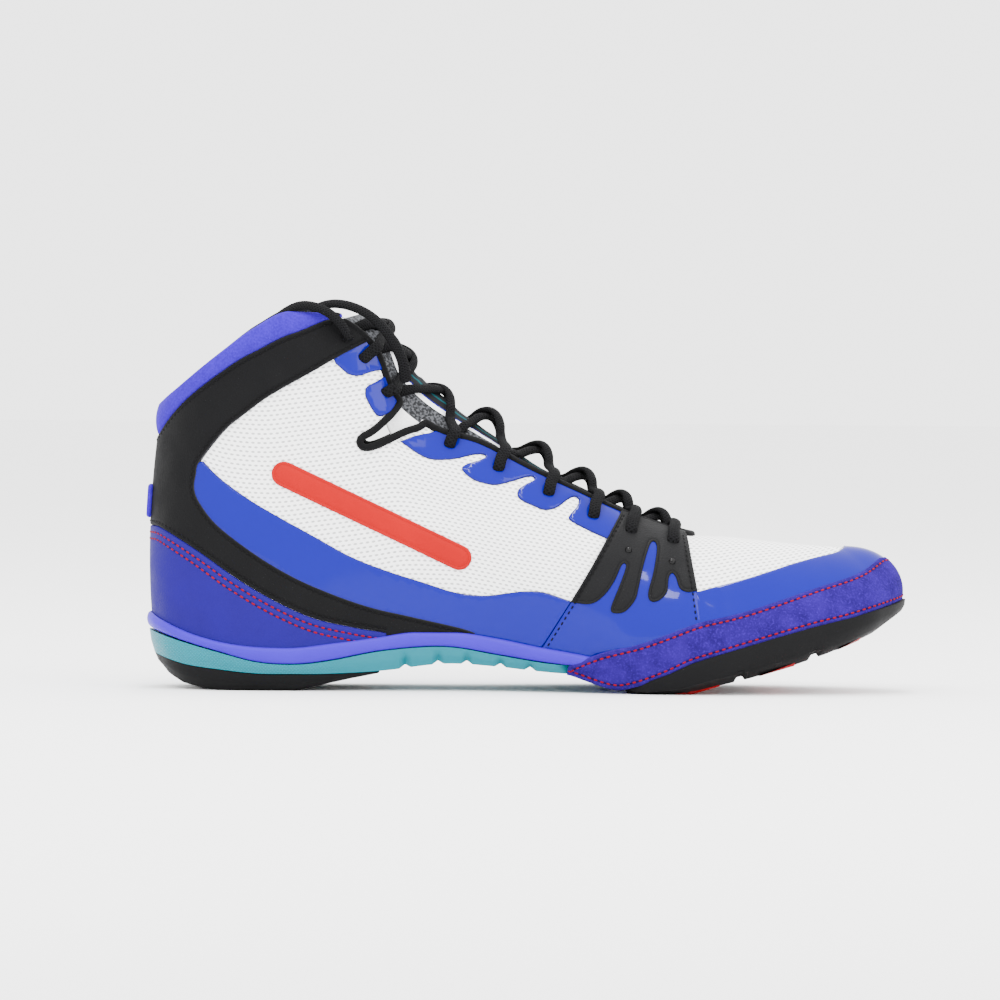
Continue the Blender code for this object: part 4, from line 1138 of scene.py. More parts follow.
@dataclass(frozen=True)
class Leather(Finish):
    """Matte synthetic leather with a fine grain, painted shade along its stitch rows and a painted
    highlight along its edge.
    """

    grain: float = 900.0
    depth: float = 0.00018
    # How much paler the painted highlight along the edge is
    edge: float = 8.0

    def dress(self, sheet: NodeSheet) -> None:
        """Write the nodes.

        Args:
            sheet: the material's empty sheet.
        """
        cells = sheet.node("ShaderNodeTexVoronoi", {"Scale": self.grain, "Vector": sheet.place()},
                           feature="DISTANCE_TO_EDGE").outputs["Distance"]
        cloud = sheet.noise(90.0)
        grain = sheet.bump(sheet.span(cells, 0.0, 0.25), 0.30, self.depth)
        colour = sheet.mix(cloud, self.tint(0.85), self.tint(1.2))
        # Painted highlight: paler within half a millimetre of the edge, where the rounded rim catches the
        # light.
        rim = sheet.span(sheet.attribute("rim"), 0.10, 0.45, 0.8, 0.0)
        colour = sheet.mix(rim, colour, self.tint(self.edge))
        # Painted shade: dark along each stitch row, standing in for shade in the groove and the holes
        # between the stitches.
        line = sheet.span(sheet.attribute("seam"), 0.15, 0.50, 0.85, 0.0)
        dip = sheet.span(sheet.attribute("seam"), 0.15, 1.0, 0.0, 1.0)
        sheet.shade(Base_Color=sheet.mix(line, colour, self.tint(0.15)),
                    Roughness=sheet.span(cloud, 0.3, 0.7, self.roughness - 0.06, self.roughness + 0.06),
                    Normal=sheet.bump(dip, 0.5, 0.0003, grain), Specular_IOR_Level=0.07)


@dataclass(frozen=True)
class Dotted(Finish):
    """Rubber with fine rows of raised dots near the heel, painted paler as a highlight on their tops."""

    pitch: float = 0.0013

    def dress(self, sheet: NodeSheet) -> None:
        """Write the nodes.

        Args:
            sheet: the material's empty sheet.
        """
        split = sheet.node("ShaderNodeSeparateXYZ", {"Vector": sheet.place()})
        rounds = []
        for axis in ("X", "Z"):
            turn = sheet.maths("MULTIPLY", split.outputs[axis], math.tau / self.pitch)
            rounds.append(sheet.maths("SINE", turn))
        dots = sheet.span(sheet.maths("MULTIPLY", rounds[0], rounds[1]), 0.2, 0.8)
        fade = sheet.span(split.outputs["X"], 0.010, 0.040, 1.0, 0.0)
        dots = sheet.maths("MULTIPLY", dots, fade)
        cloud = sheet.noise(60.0)
        colour = sheet.mix(cloud, self.tint(0.92), self.tint(1.08))
        # Painted highlight: the raised dots are painted paler than the rubber around them.
        sheet.shade(Base_Color=sheet.mix(sheet.maths("MULTIPLY", dots, 0.5), colour, self.tint(1.8)),
                    Roughness=self.roughness, Normal=sheet.bump(dots, 0.5, 0.0003),
                    Specular_IOR_Level=0.18)


@dataclass(frozen=True)
class Tongue(Finish):
    """Heather cloth with a plain banded label down its front."""

    def dress(self, sheet: NodeSheet) -> None:
        """Write the nodes.

        Args:
            sheet: the material's empty sheet.
        """
        fibre = sheet.noise(1100.0, 4.0)
        heather = sheet.mix(sheet.span(fibre, 0.42, 0.62), self.tint(0.25), self.tint(1.5))
        split = sheet.node("ShaderNodeSeparateXYZ", {"Vector": sheet.place()})
        off = sheet.maths("ABSOLUTE", sheet.maths("SUBTRACT", sheet.attribute("across"), 0.5))
        off = sheet.maths("ADD", off, sheet.maths("GREATER_THAN", split.outputs["Z"], LABEL_TOP))
        colour = heather
        for reach, band in LABEL_BANDS:
            colour = sheet.mix(sheet.maths("LESS_THAN", off, reach), colour, srgb(*band))
        sheet.shade(Base_Color=colour, Roughness=self.roughness, Normal=sheet.bump(fibre, 0.7, 0.0004),
                    Specular_IOR_Level=0.2)


@dataclass(frozen=True)
class Mesh(Finish):
    """White spacer mesh with staggered rows of small dimples, painted grey as shade in their hollows."""

    pitch_along: float = 2.3
    pitch_up: float = 1.75

    def dress(self, sheet: NodeSheet) -> None:
        """Write the nodes.

        Args:
            sheet: the material's empty sheet.
        """
        split = sheet.node("ShaderNodeSeparateXYZ", {"Vector": sheet.place(uv=True)})
        row = sheet.maths("DIVIDE", split.outputs["Y"], self.pitch_up)
        shift = sheet.maths("MULTIPLY", sheet.maths("MODULO", sheet.maths("FLOOR", row), 2.0), 0.5)
        column = sheet.maths("ADD", sheet.maths("DIVIDE", split.outputs["X"], self.pitch_along), shift)
        offsets = [sheet.maths("SUBTRACT", sheet.maths("FRACT", value), 0.5) for value in (column, row)]
        wide = sheet.maths("POWER", sheet.maths("MULTIPLY", offsets[0], 2.6), 2.0)
        tall = sheet.maths("POWER", sheet.maths("MULTIPLY", offsets[1], 3.6), 2.0)
        dimple = sheet.span(sheet.maths("ADD", wide, tall), 0.15, 1.0, 0.0, 1.0)
        yarn = sheet.noise(1600.0, 3.0)
        height = sheet.maths("ADD", dimple, sheet.maths("MULTIPLY", yarn, 0.3))
        # Painted shade: grey in the dimples' hollows, white on the mesh between them.
        sheet.shade(Base_Color=sheet.mix(dimple, self.tint(0.42), self.tint(1.0)), Roughness=self.roughness,
                    Normal=sheet.bump(height, 0.6, 0.0005), Specular_IOR_Level=0.25)


@dataclass(frozen=True)
class Cloth(Finish):
    """Brushed knit, or heather cloth where two yarns are given."""

    second: tuple[int, int, int] | None = None
    weave: float = 1300.0

    def dress(self, sheet: NodeSheet) -> None:
        """Write the nodes.

        Args:
            sheet: the material's empty sheet.
        """
        fibre = sheet.noise(self.weave, 4.0)
        patch = sheet.noise(160.0, 4.0)
        dark, light = self.tint(0.8), self.tint(1.15)
        if self.second:
            dark, light = srgb(*self.colour), srgb(*self.second)
        colour = sheet.mix(sheet.span(sheet.maths("ADD", fibre, sheet.maths("MULTIPLY", patch, 0.4)),
                                      0.45, 0.95), dark, light)
        sheet.shade(Base_Color=colour, Roughness=self.roughness, Normal=sheet.bump(fibre, 0.7, 0.0004),
                    Sheen_Weight=0.03, Sheen_Roughness=0.5, Specular_IOR_Level=0.06)


@dataclass(frozen=True)
class Braid(Finish):
    """Woven cord, with slanted yarns that cross along its length."""

    pitch: float = 1.1

    def dress(self, sheet: NodeSheet) -> None:
        """Write the nodes.

        Args:
            sheet: the material's empty sheet.
        """
        split = sheet.node("ShaderNodeSeparateXYZ", {"Vector": sheet.place(uv=True)})
        slants = []
        for sign in (1.0, -1.0):
            lean = sheet.maths("MULTIPLY", split.outputs["Y"], sign)
            slant = sheet.maths("ADD", split.outputs["X"], lean)
            slants.append(sheet.maths("SINE", sheet.maths("MULTIPLY", slant, math.tau / self.pitch)))
        height = sheet.maths("MAXIMUM", slants[0], slants[1])
        fuzz = sheet.noise(2200.0, 2.0)
        total = sheet.maths("ADD", height, sheet.maths("MULTIPLY", fuzz, 0.8))
        # Painted shade and highlight: dark in the hollows between the yarns and pale on their crests, with
        # random tone from the fuzz.
        sheet.shade(Base_Color=sheet.mix(sheet.span(total, -0.3, 1.4), self.tint(0.4), self.tint(2.0)),
                    Roughness=self.roughness, Normal=sheet.bump(total, 0.9, 0.00025),
                    Specular_IOR_Level=0.08)


# The label's top, and its bands as (reach from the middle, colour), widest first
LABEL_TOP = 0.131
LABEL_BANDS = ((0.330, (6, 6, 8)), (0.320, (236, 236, 240)), (0.270, (10, 6, 110)),
               (0.255, (18, 18, 21)), (0.180, (6, 62, 68)), (0.150, (22, 23, 26)))

FINISHES: dict[str, Finish] = {
    "mesh": Mesh("mesh", (250, 250, 250), 0.85),
    "gusset": Cloth("mesh", (226, 226, 226), 0.90, (246, 246, 246)),
    "patent": Patent("patent", (6, 3, 116), 0.16),
    "black_gloss": Patent("black_strap", (6, 6, 7), 0.10),
    "suede": Suede("suede", (33, 12, 92), 0.95),
    "counter": Leather("counter", (26, 9, 96), 0.62, edge=1.3),
    "band": Finish("band", (50, 10, 164), 0.42),
    "turquoise": Dotted("turquoise", (0, 98, 110), 0.45),
    "black_rubber": Finish("black_rubber", (9, 9, 10), 0.60),
    "black_strap": Leather("black_strap", (9, 9, 10), 0.66),
    "cage_film": Leather("black_strap", (15, 15, 16), 0.58, edge=1.2),
    "collar_knit": Cloth("collar_knit", (46, 9, 148), 0.95),
    "tongue_cloth": Tongue("tongue_cloth", (62, 63, 66), 0.95),
    "lining": Cloth("lining", (8, 8, 9), 0.95),
    "lace": Braid("lace", (7, 7, 8), 0.85),
    "binding": Cloth("lace", (9, 9, 10), 0.80),
    "red": Finish("red", (148, 2, 6), 0.55),
    "red_thread": Finish("red", (112, 2, 12), 0.60),
    "black_thread": Finish("lace", (5, 5, 6), 0.60),
    "red_rubber": Finish("red", (130, 6, 12), 0.45),
}


# Upper and its panels


def throat(side: Side, last: float = THROAT_BASE) -> Edge:
    """The edge of the throat from the collar down, in and out of the flex notch.

    Args:
        side: the side of the shoe.
        last: the rib where it ends.

    Returns:
        The edge.
    """
    notch = Edge.seen(NOTCH, side)
    kept = notch.shares < 0.985
    places, shares = notch.places[kept], notch.shares[kept]
    edge = side.value * np.linspace(THROAT_TOP, last, 120)
    rim = LAST.surface(edge, 1.0)
    ends = [edge[np.argmin(np.linalg.norm(rim - LAST.surface(places[k], shares[k]), axis=1))]
            for k in (0, -1)]
    upper = np.arange(THROAT_TOP, abs(ends[0]), 0.08) * side.value
    lower = np.linspace(abs(ends[1]), last, 80) * side.value
    return Edge(np.concatenate([upper, places, lower]),
                np.concatenate([np.ones(len(upper)), shares, np.ones(len(lower))]))


@dataclass
class UpperWork:
    """The mesh upper with its lining, collar, bindings and overlays."""

    lining_depth: float = 0.0012
    lap: float = 0.0012
    patent: float = 0.0009
    counter: float = 0.0013
    strap: float = 0.0014
    suede: float = 0.0013
    cage: float = 0.0012
    bar: float = 0.0010
    bar_width: float = 0.0095
    bar_welt: float = 0.0003
    collar_swell: float = 0.0026
    over_band: float = 0.0022
    film: float = 0.0007
    binding_width: float = 0.0030
    binding_height: float = 0.0042
    binding_inset: float = 0.0009
    binding_base: float = 14.65
    collar_end: float = 6.15
    strap_end: float = 6.02
    strap_rim: float = 5.95
    tail_front: float = 0.632
    tail_run: float = 0.012
    tail_foot: float = 0.0075
    tail_rise: float = 0.0040
    top_patch_end: float = 8.15
    mid_patch_ends: tuple[float, float] = (12.9, 9.1)
    dimple: float = 0.0014
    gusset_ribs: tuple[float, float] = (7.30, 9.80)
    gusset_shares: tuple[float, float] = (0.74, 0.985)
    gusset_depth: float = 0.0028
    tab_ends: tuple[float, float] = (0.0660, 0.0765)
    tab_width: float = 0.0085
    tab_height: float = 0.0024
    tuck: float = -0.02

    def build(self) -> None:
        """Make every piece of the upper."""
        self.shell()
        self.collar()
        self.heel()
        self.toe()
        for side in Side:
            self.flank(side)
            self.gusset(side)
        self.binding()
        self.tab()

    def shell(self) -> None:
        """The mesh outside and the dark lining inside it."""
        medial, lateral = (throat(side) for side in Side)
        edges = [Edge.straight((-TOE, 0.0), (TOE, 0.0)), Edge.straight((TOE, 0.0), (TOE, 1.0)),
                 Edge.straight((TOE, 1.0), (THROAT_BASE, 1.0)), medial.reversed(),
                 Edge.straight((THROAT_TOP, 1.0), (-THROAT_TOP, 1.0)), lateral,
                 Edge.straight((-THROAT_BASE, 1.0), (-TOE, 1.0)),
                 Edge.straight((-TOE, 1.0), (-TOE, 0.0))]
        Panel("upper_mesh", ("upper",), edges, "mesh", self.lining_depth, base=-self.lining_depth,
              rims=(), rounding=1e-6).build()
        Panel("upper_lining", ("upper",), edges, "lining", LAST.wall - self.lining_depth, base=-LAST.wall,
              rims=(), rounding=1e-6, columns=6.0, rows=30.0).build()

    def collar(self) -> None:
        """The padded collar, rolled over the rim and down inside."""
        places = np.linspace(-self.collar_end, self.collar_end, 181)[:, None]
        starts = LAST.collar_shares(places)
        shares = starts + (1.0 - starts) * np.linspace(0.0, 1.0, 13)
        width = LAST.rib_length(places, 1.0) - LAST.rib_length(places, starts)
        swell = np.minimum(self.collar_swell, 0.35 * width)
        rise = np.sin(math.pi * np.linspace(0.0, 0.72, 13)) ** 0.6 * swell
        outer = LAST.skin(places, shares, rise + 0.0003)
        rim = LAST.surface(places, 1.0)
        up = unit(rim - LAST.surface(places, 0.97))
        out = LAST.normal(places, 1.0)
        reach = (rise[:, -1:] + 0.0003)[..., None]
        middle = (reach - LAST.wall - 0.0006) / 2.0
        half = (reach + LAST.wall + 0.0006) / 2.0
        turns = np.linspace(0.0, math.pi, 13)[1:, None]
        tall = half * (0.62 + 0.45 * np.clip(-places[..., None] / 2.0, 0.0, 1.0))
        over = rim + out * (middle + half * np.cos(turns)) + up * tall * np.sin(turns)
        inner = LAST.skin(places, np.linspace(1.0, 0.93, 5)[1:], -LAST.wall - 0.0006)
        back = np.concatenate([np.full_like(starts, 0.93), np.full_like(starts, 0.98), (starts + 2.0) / 3.0,
                               starts], axis=1)
        under = LAST.skin(places, back, np.array((-LAST.wall + 0.0004, -0.0008, -0.0004, -0.0002)))
        rows = np.concatenate([outer, over, inner, under], axis=1)
        piece = wrap_grid("collar_roll_padded", rows, "collar_knit")
        piece.data.materials.append(FINISHES["lining"].material())
        for face in piece.data.polygons:
            columns = [corner % rows.shape[1] for corner in face.vertices]
            face.material_index = int(min(columns) >= outer.shape[1] + 4)
        finish_mesh(piece)
        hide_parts("collar_roll")

    def heel(self) -> None:
        """Heel counter and ankle strap."""
        red_rows = (StitchRow(0.0025, "red_thread"), StitchRow(0.0050, "red_thread"))
        black_row = (StitchRow(0.0016, "black_thread", 0.0015, 0.0009),)
        ends = {side: place_seen(COUNTER_LINE[-1], side) for side in Side}
        first, last = ends[Side.LATERAL], ends[Side.MEDIAL]
        counter = [Edge.level(COUNTER_LINE, last, first, red_rows),
                   Edge.straight((first, self.tuck), (last, self.tuck))]
        Panel("heel_counter_leather", ("heel_counter",), counter, "counter", self.counter,
              rims=(0.00015, 0.0005, 0.0014, 0.0019, 0.0022, 0.0025, 0.0028, 0.0032, 0.0040, 0.0046,
                    0.0050, 0.0054, 0.0059)).build()
        inner = {side: Edge.seen(STRAP_INNER, side, black_row) for side in Side}
        tops = {side: Edge.seen(STRAP_TIP, side) for side in Side}
        edges = [Edge.level(COUNTER_LINE, first, last, black_row, lift=0.0001)]
        edges.append(Edge.straight((last, self.tuck), (inner[Side.MEDIAL].places[0], self.tuck)))
        edges += [inner[Side.MEDIAL], tops[Side.MEDIAL]]
        rim = {side: tops[side].places[-1] for side in Side}
        edges.append(Edge.straight((rim[Side.MEDIAL], 1.0), (self.strap_end, 1.0)))
        along = np.linspace(self.strap_rim, -self.strap_rim, 145)
        edges.append(Edge(along, LAST.collar_shares(along), black_row))
        edges.append(Edge.straight((-self.strap_end, 1.0), (rim[Side.LATERAL], 1.0)))
        edges += [tops[Side.LATERAL].reversed(), inner[Side.LATERAL].reversed()]
        edges.append(Edge.straight((inner[Side.LATERAL].places[0], self.tuck), (first, self.tuck)))
        Panel("ankle_strap_leather", ("ankle_strap",), edges, "black_strap", self.strap,
              rims=(0.00015, 0.0005, 0.0009, 0.0013, 0.0016, 0.0019, 0.0023)).build()

    def toe(self) -> None:
        """Patent toe cap and suede toe guard."""
        starts = {side: place_seen(TOE_CAP_REAR, side) for side in Side}
        first, last = starts[Side.MEDIAL], RING + starts[Side.LATERAL]
        cap = [Edge.level(GUARD_LINE, first, last, lift=-self.lap, lowest=-0.1),
               Edge.level(TOE_CAP_LINE, last, first)]
        Panel("toe_cap_patent", ("toe_cap",), cap, "patent", self.patent, rows=110.0).build()
        thread = (StitchRow(0.0020, "red_thread"),)
        tails = {side: place_seen(GUARD_LINE[0], side) for side in Side}
        first, last = tails[Side.MEDIAL], RING + tails[Side.LATERAL]
        guard = [Edge.level(GUARD_FOOT, first, last, thread, lowest=-0.25),
                 Edge.level(GUARD_LINE, last, first, thread, lowest=-0.25)]
        Panel("toe_guard_suede", ("toe_guard",), guard, "suede", self.suede, rows=110.0, raised=self.tail,
              rims=(0.00015, 0.0005, 0.0010, 0.0014, 0.0017, 0.0020, 0.0023, 0.0026)).build()

    def tail(self, points: Array) -> Array:
        """How much the guard's tail is raised to pass over the sole's band.

        Args:
            points: points of the last.

        Returns:
            One height for each point.
        """
        ahead = np.clip((LAST.along(self.tail_front) - points[:, 0]) / self.tail_run, 0.0, 1.0)
        above = np.clip((points[:, 2] - self.tail_foot) / self.tail_rise, 0.0, 1.0)
        return self.over_band * ahead * above * above * (3.0 - 2.0 * above)

    def flank(self, side: Side) -> None:
        """Patent mudguard, lace cage, eyestay patches and the plain red bar.

        Args:
            side: the side of the shoe.
        """
        name = side.name.lower()
        low = Edge.seen(STRAP_INNER[11::-1], side).moved(-self.lap * side.value)
        top = Edge.seen(PATENT_LINE, side)
        rear = Edge.seen(CAGE_REAR[2::-1], side)
        foot = Edge.straight((rear.places[-1], self.tuck), (low.places[-1], self.tuck))
        Panel("mudguard_patent_" + name, ("mudguard_" + name,), [top, rear, foot, low.reversed()],
              "patent", self.patent).build()
        self.cage_of(side)
        self.patches(side)
        ends = LAST.side_view(BAR_ENDS)
        run = unit(ends[1] - ends[0])
        square = np.array((-run[1], run[0])) * self.bar_width / 2.0
        turns = np.linspace(0.0, math.pi, 15)
        caps = [end + square * math.cos(t) * sign + run * self.bar_width / 2.0 * math.sin(t) * sign
                for end, sign in ((ends[1], 1.0), (ends[0], -1.0)) for t in turns]
        places, shares = LAST.locate(spaced(np.array(caps + caps[:1]), OUTLINE_STEP), side)
        Panel("side_bar_red_" + name, ("side_bar_" + name,), [Edge(places, shares)], "red", self.bar,
              rims=(0.00015, 0.0005, 0.0009, 0.0012, 0.0015), groove=self.bar_welt).build()

    def cage_of(self, side: Side) -> None:
        """The lace cage: a patent base under a black film cut into fingers.

        Args:
            side: the side of the shoe.
        """
        name = side.name.lower()
        thread = (StitchRow(0.0016, "black_thread", 0.0018, 0.0006),)
        low = Edge.seen(CAGE_REAR[:3], side, thread)
        up = Edge.seen(CAGE_REAR[2:], side)
        down = Edge.seen(CAGE_FRONT[2:0:-1], side)
        front = Edge.seen(CAGE_FRONT[1::-1], side, thread)
        rim = Edge.straight((up.places[-1], 1.0), (down.places[0], 1.0))
        first = place_seen(GUARD_LINE[0], side)
        guard = Edge.level(GUARD_LINE, front.places[-1], first, lift=-self.lap, lowest=-0.1)
        foot = Edge.straight((first, self.tuck), (low.places[0], self.tuck))
        Panel("lace_cage_patent_" + name, ("lace_cage_" + name,), [low, up, rim, down, front, guard, foot],
              "patent", self.cage - 0.0002, rows=70.0).build()
        up = Edge.seen(CAGE_REAR[2:], side, thread)
        down = Edge.seen(CAGE_FRONT[2:0:-1], side, thread)
        fingers = Edge.seen(CAGE_FINGERS, side, steps=5)
        Panel("lace_cage_film_" + name, ("lace_cage_" + name,), [up, rim, down, fingers.reversed()],
              "cage_film", self.film, base=self.cage - 0.0003, rows=90.0, columns=16.0,
              rims=(0.00015, 0.0004, 0.0008, 0.0011, 0.0014, 0.0018), groove=0.0003,
              groove_inset=0.0011).build()
        for index, spot in enumerate(CAGE_DIMPLES, start=1):
            place, share = LAST.locate(LAST.side_view((spot,)), side)
            centre = LAST.skin(place, share, self.cage + self.film - 0.0007)[0]
            bpy.ops.object.select_all(action="DESELECT")
            bpy.ops.mesh.primitive_uv_sphere_add(segments=24, ring_count=12, radius=self.dimple,
                                                 location=centre)
            dimple = bpy.context.object
            dimple.name = f"cage_dimple_{index}_{name}"
            bpy.ops.object.transform_apply(location=True, rotation=True, scale=True)
            bpy.ops.object.shade_smooth()
            dimple.data.materials.append(FINISHES["black_gloss"].material())
            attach(dimple, BODY)

    def patches(self, side: Side) -> None:
        """The two patent patches that carry the eyelets.

        Args:
            side: the side of the shoe.
        """
        name = side.name.lower()
        rear = Edge.seen(EYESTAY_TOP, side)
        front = Edge.seen(EYESTAY_TOP_FRONT, side)
        rim = Edge.straight((rear.places[-1], 1.0), (side.value * self.top_patch_end, 1.0))
        Panel("eyestay_top_patent_" + name, ("eyestay_top_" + name,), [rear, rim, front], "patent",
              self.patent).build()
        low = Edge.seen(EYESTAY_MID, side)
        back = Edge.seen(EYESTAY_MID_REAR, side)
        rim = Edge.straight(*((side.value * place, 1.0) for place in self.mid_patch_ends))
        Panel("eyestay_mid_patent_" + name, ("eyestay_mid_" + name,), [low, rim, back], "patent",
              self.patent).build()

    def binding(self) -> None:
        """The black binding round the throat's edge and the flex notches."""
        sides = []
        for side in Side:
            edge = throat(side, self.binding_base).spaced(0.0010).moved(-self.binding_inset * side.value)
            shares = np.minimum(edge.shares, 1.0)
            sides.append((LAST.skin(edge.places, shares, -0.0004), LAST.normal(edge.places, shares)))
        (medial, medial_ups), (lateral, lateral_ups) = sides
        points = relaxed(np.concatenate([medial, lateral[::-1]]), 4)
        ups = relaxed(np.concatenate([medial_ups, lateral_ups[::-1]]), 4)
        sweep("throat_binding", points, unit(ups), self.binding_width, self.binding_height, "binding",
              power=0.8)

    def gusset(self, side: Side) -> None:
        """The white cloth behind the flex notch.

        Args:
            side: the side of the shoe.
        """
        (rear, front), (low, high) = self.gusset_ribs, self.gusset_shares
        corners = ((rear, low), (front, low), (front, high), (rear, high))
        turned = [(place * side.value, share) for place, share in corners]
        edges = [Edge.straight(first, last) for first, last in zip(turned, turned[1:] + turned[:1])]
        Panel("notch_gusset_" + side.name.lower(), (), edges, "gusset", 0.0006,
              base=-self.gusset_depth).build()

    def tab(self) -> None:
        """The small padded tab on the heel's back."""
        shares = LAST.level(lambda x: np.linspace(*self.tab_ends, 15), np.zeros(15))
        path = LAST.skin(np.zeros(15), shares, self.strap + 0.0004)
        sweep("heel_tab", path, LAST.normal(np.zeros(15), shares), self.tab_width, self.tab_height,
              "collar_knit", power=0.7)


# Sole


@dataclass
class SoleWork:
    """Midsole with its bead, turquoise rear sole, heel pad and the forefoot's cup."""

    gap: float = 0.0003
    foot_gap: float = 0.00045
    band_proud: float = 0.0028
    cup_wall: float = 0.0023
    thickness: float = 0.0032
    tread_inset: float = 0.0060
    groove_depth: float = 0.0016
    arch_notch: float = 0.0022
    band_tuck: tuple[float, float] = (0.585, 0.612)
    rear_tuck: tuple[float, float] = (0.538, 0.566)
    cup_span: tuple[float, float] = (0.628, 0.664)
    cup_lap: float = 0.0006
    rear_end: float = 0.60
    pad_end: float = 0.31
    notch_lift: float = 0.0014
    notch_depth: float = 0.0016
    insert_sunk: float = 0.0003

    def height(self, column: int, x: Array) -> Array:
        """Height of one layer's underside at world x."""
        table = smooth_path(np.array(SOLE_ROWS), 6)
        return np.interp(x, LAST.along(table[:, 0]), table[:, column] * LAST.shaft)

    def arch(self, x: Array) -> Array:
        """How deep the arch's notches are at world x, nought to one."""
        return sum(np.clip(1.0 - np.abs(x - LAST.along(share)) / self.arch_notch, 0.0, 1.0)
                   for share in ARCH_NOTCHES)

    def tread(self, x: Array) -> Array:
        """Height of the forefoot's underside at world x, with its flex grooves."""
        grooves = sum(np.clip(2.0 - np.abs(x - LAST.along(share)) / 0.0010, 0.0, 1.0)
                      for share in FLEX_GROOVES)
        return LAST.height_of(TREAD_BOTTOM)(x) + self.groove_depth * grooves

    def tucked(self, x: Array, span: tuple[float, float]) -> Array:
        """How far a side has tucked in behind the suede guard.

        Args:
            x: world x.
            span: where it starts and ends, as shares of the length.

        Returns:
            One number for each x, from nought to one.
        """
        first, last = LAST.along(np.array(span))
        share = np.clip((x - first) / (last - first), 0.0, 1.0)
        return (share * share * (3.0 - 2.0 * share))[:, None]

    def close(self, name: str, medial: Array, lateral: Array, bottom: Callable[[Array], Array],
              finish: str, node: str, caps: tuple[bool, bool]) -> None:
        """Join the two sides of a layer across its underside and its top.

        Args:
            name: the piece's name.
            medial: the medial side's points, by section, from the top down.
            lateral: the lateral side's.
            bottom: gives the underside's height at world x.
            finish: the name of its finish.
            node: the solid that it stands for.
            caps: whether the first and the last section are filled.
        """
        across = np.linspace(0.0, 1.0, 15)[1:-1, None]
        under = medial[:, -1:] + (lateral[:, -1:] - medial[:, -1:]) * across
        under[..., 2] = bottom(under[..., 0])
        over = lateral[:, :1] + (medial[:, :1] - lateral[:, :1]) * across
        rows = np.concatenate([medial, under, lateral[:, ::-1], over], axis=1)
        piece = wrap_grid(name, rows, finish, *caps, sharp=40.0)
        finish_mesh(piece)
        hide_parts(node)
        LOG.info("%s", name)

    def loft(self, places: Array, spreads: Callable[[Array], Array], top: Callable[[Array], Array],
             bottom: Callable[[Array], Array]) -> tuple[Array, Array]:
        """The two sides of a layer.

        Args:
            places: the sections' places.
            spreads: gives how far out the side stands, from the top down, at world x.
            top: gives the top's height at a place.
            bottom: gives the underside's height at world x.

        Returns:
            The medial and the lateral side's points, by section.
        """
        sides = []
        for stations in (places, -places):
            foot = LAST.foot(stations)
            stand = spreads(foot[:, 0])
            points = foot[:, None] + LAST.outward(stations)[:, None] * stand[..., None]
            high = top(stations)[:, None]
            marks = np.linspace(0.0, 1.0, stand.shape[1])
            points[..., 2] = high + (bottom(points[..., 0]) - high) * marks
            sides.append(points)
        return sides[0], sides[1]

    def build(self) -> None:
        """Make every layer of the sole."""
        self.midsole()
        self.rear_sole()
        self.heel_pad()
        self.outsole()
        for index, (first, last, rise) in enumerate(TREAD_INSERTS, start=1):
            self.insert(index, first, last, rise)
        self.insole()

    def midsole(self) -> None:
        """The midsole, with its side band as a rounded bead."""
        marks = np.linspace(0.0, 1.0, 13)
        bead = self.band_proud - 0.0012 + 0.0014 * np.sin(math.pi * marks) ** 0.45
        front = np.interp(marks, (0.0, 0.3, 0.7, 1.0), (-0.0008, -0.0016, -0.0034, -0.0048))

        def bottom(x: Array) -> Array:
            """Height of the underside, over the rear sole and then over the cup."""
            cup = LAST.height_of(TREAD_BOTTOM)(x) + self.thickness + self.gap
            return np.where(x > LAST.along(self.rear_end), cup, self.height(1, x))

        sides = self.loft(np.linspace(0.0, 19.0, 229),
                          lambda x: bead + (front - bead) * self.tucked(x, self.band_tuck),
                          lambda stations: LAST.foot(stations)[:, 2] - self.foot_gap, bottom)
        self.close("midsole_band", *sides, bottom, "band", "midsole", (False, True))

    def rear_sole(self) -> None:
        """The turquoise sole under the heel and the arch, notched along its lower edge."""
        marks = np.linspace(0.0, 1.0, 9)
        spread = np.interp(marks, (0.0, 0.5, 1.0), (0.0020, 0.0014, 0.0))
        deep = np.array((0.0, 0.0, 0.1, 0.3, 0.6, 0.8, 1.0, 1.0, 1.0)) * self.notch_depth

        def stand(x: Array) -> Array:
            """How far out the side stands, tucked in at its end and cut by the notches."""
            tucked = (-0.0042 - spread) * self.tucked(x, self.rear_tuck)
            return spread + tucked - deep * self.arch(x)[:, None]

        def bottom(x: Array) -> Array:
            """Height of the underside, raised in the notches."""
            return self.height(2, x) + self.notch_lift * self.arch(x)

        places = np.concatenate([np.arange(0.0, 6.0, 0.1), np.arange(6.0, 12.0, 0.03)])
        places = places[LAST.foot(places)[:, 0] < LAST.along(self.rear_end)]
        sides = self.loft(places, stand, lambda at: self.height(1, LAST.foot(at)[:, 0]) - self.gap, bottom)
        self.close("rear_sole_rubber", *sides, bottom, "turquoise", "rear_sole", (False, True))

    def heel_pad(self) -> None:
        """The black rubber pad that the heel stands on."""
        spread = np.interp(np.linspace(0.0, 1.0, 9), (0.0, 0.55, 1.0), (-0.0002, -0.0014, -0.0050))
        places = np.arange(0.0, 8.0, 0.1)
        places = places[LAST.foot(places)[:, 0] < LAST.along(self.pad_end)]
        bottom = LAST.height_of(PAD_BOTTOM)
        sides = self.loft(places, lambda x: np.tile(spread, (len(x), 1)),
                          lambda at: self.height(2, LAST.foot(at)[:, 0]) - self.gap, bottom)
        self.close("heel_pad_rubber", *sides, bottom, "black_rubber", "heel_pad", (False, True))

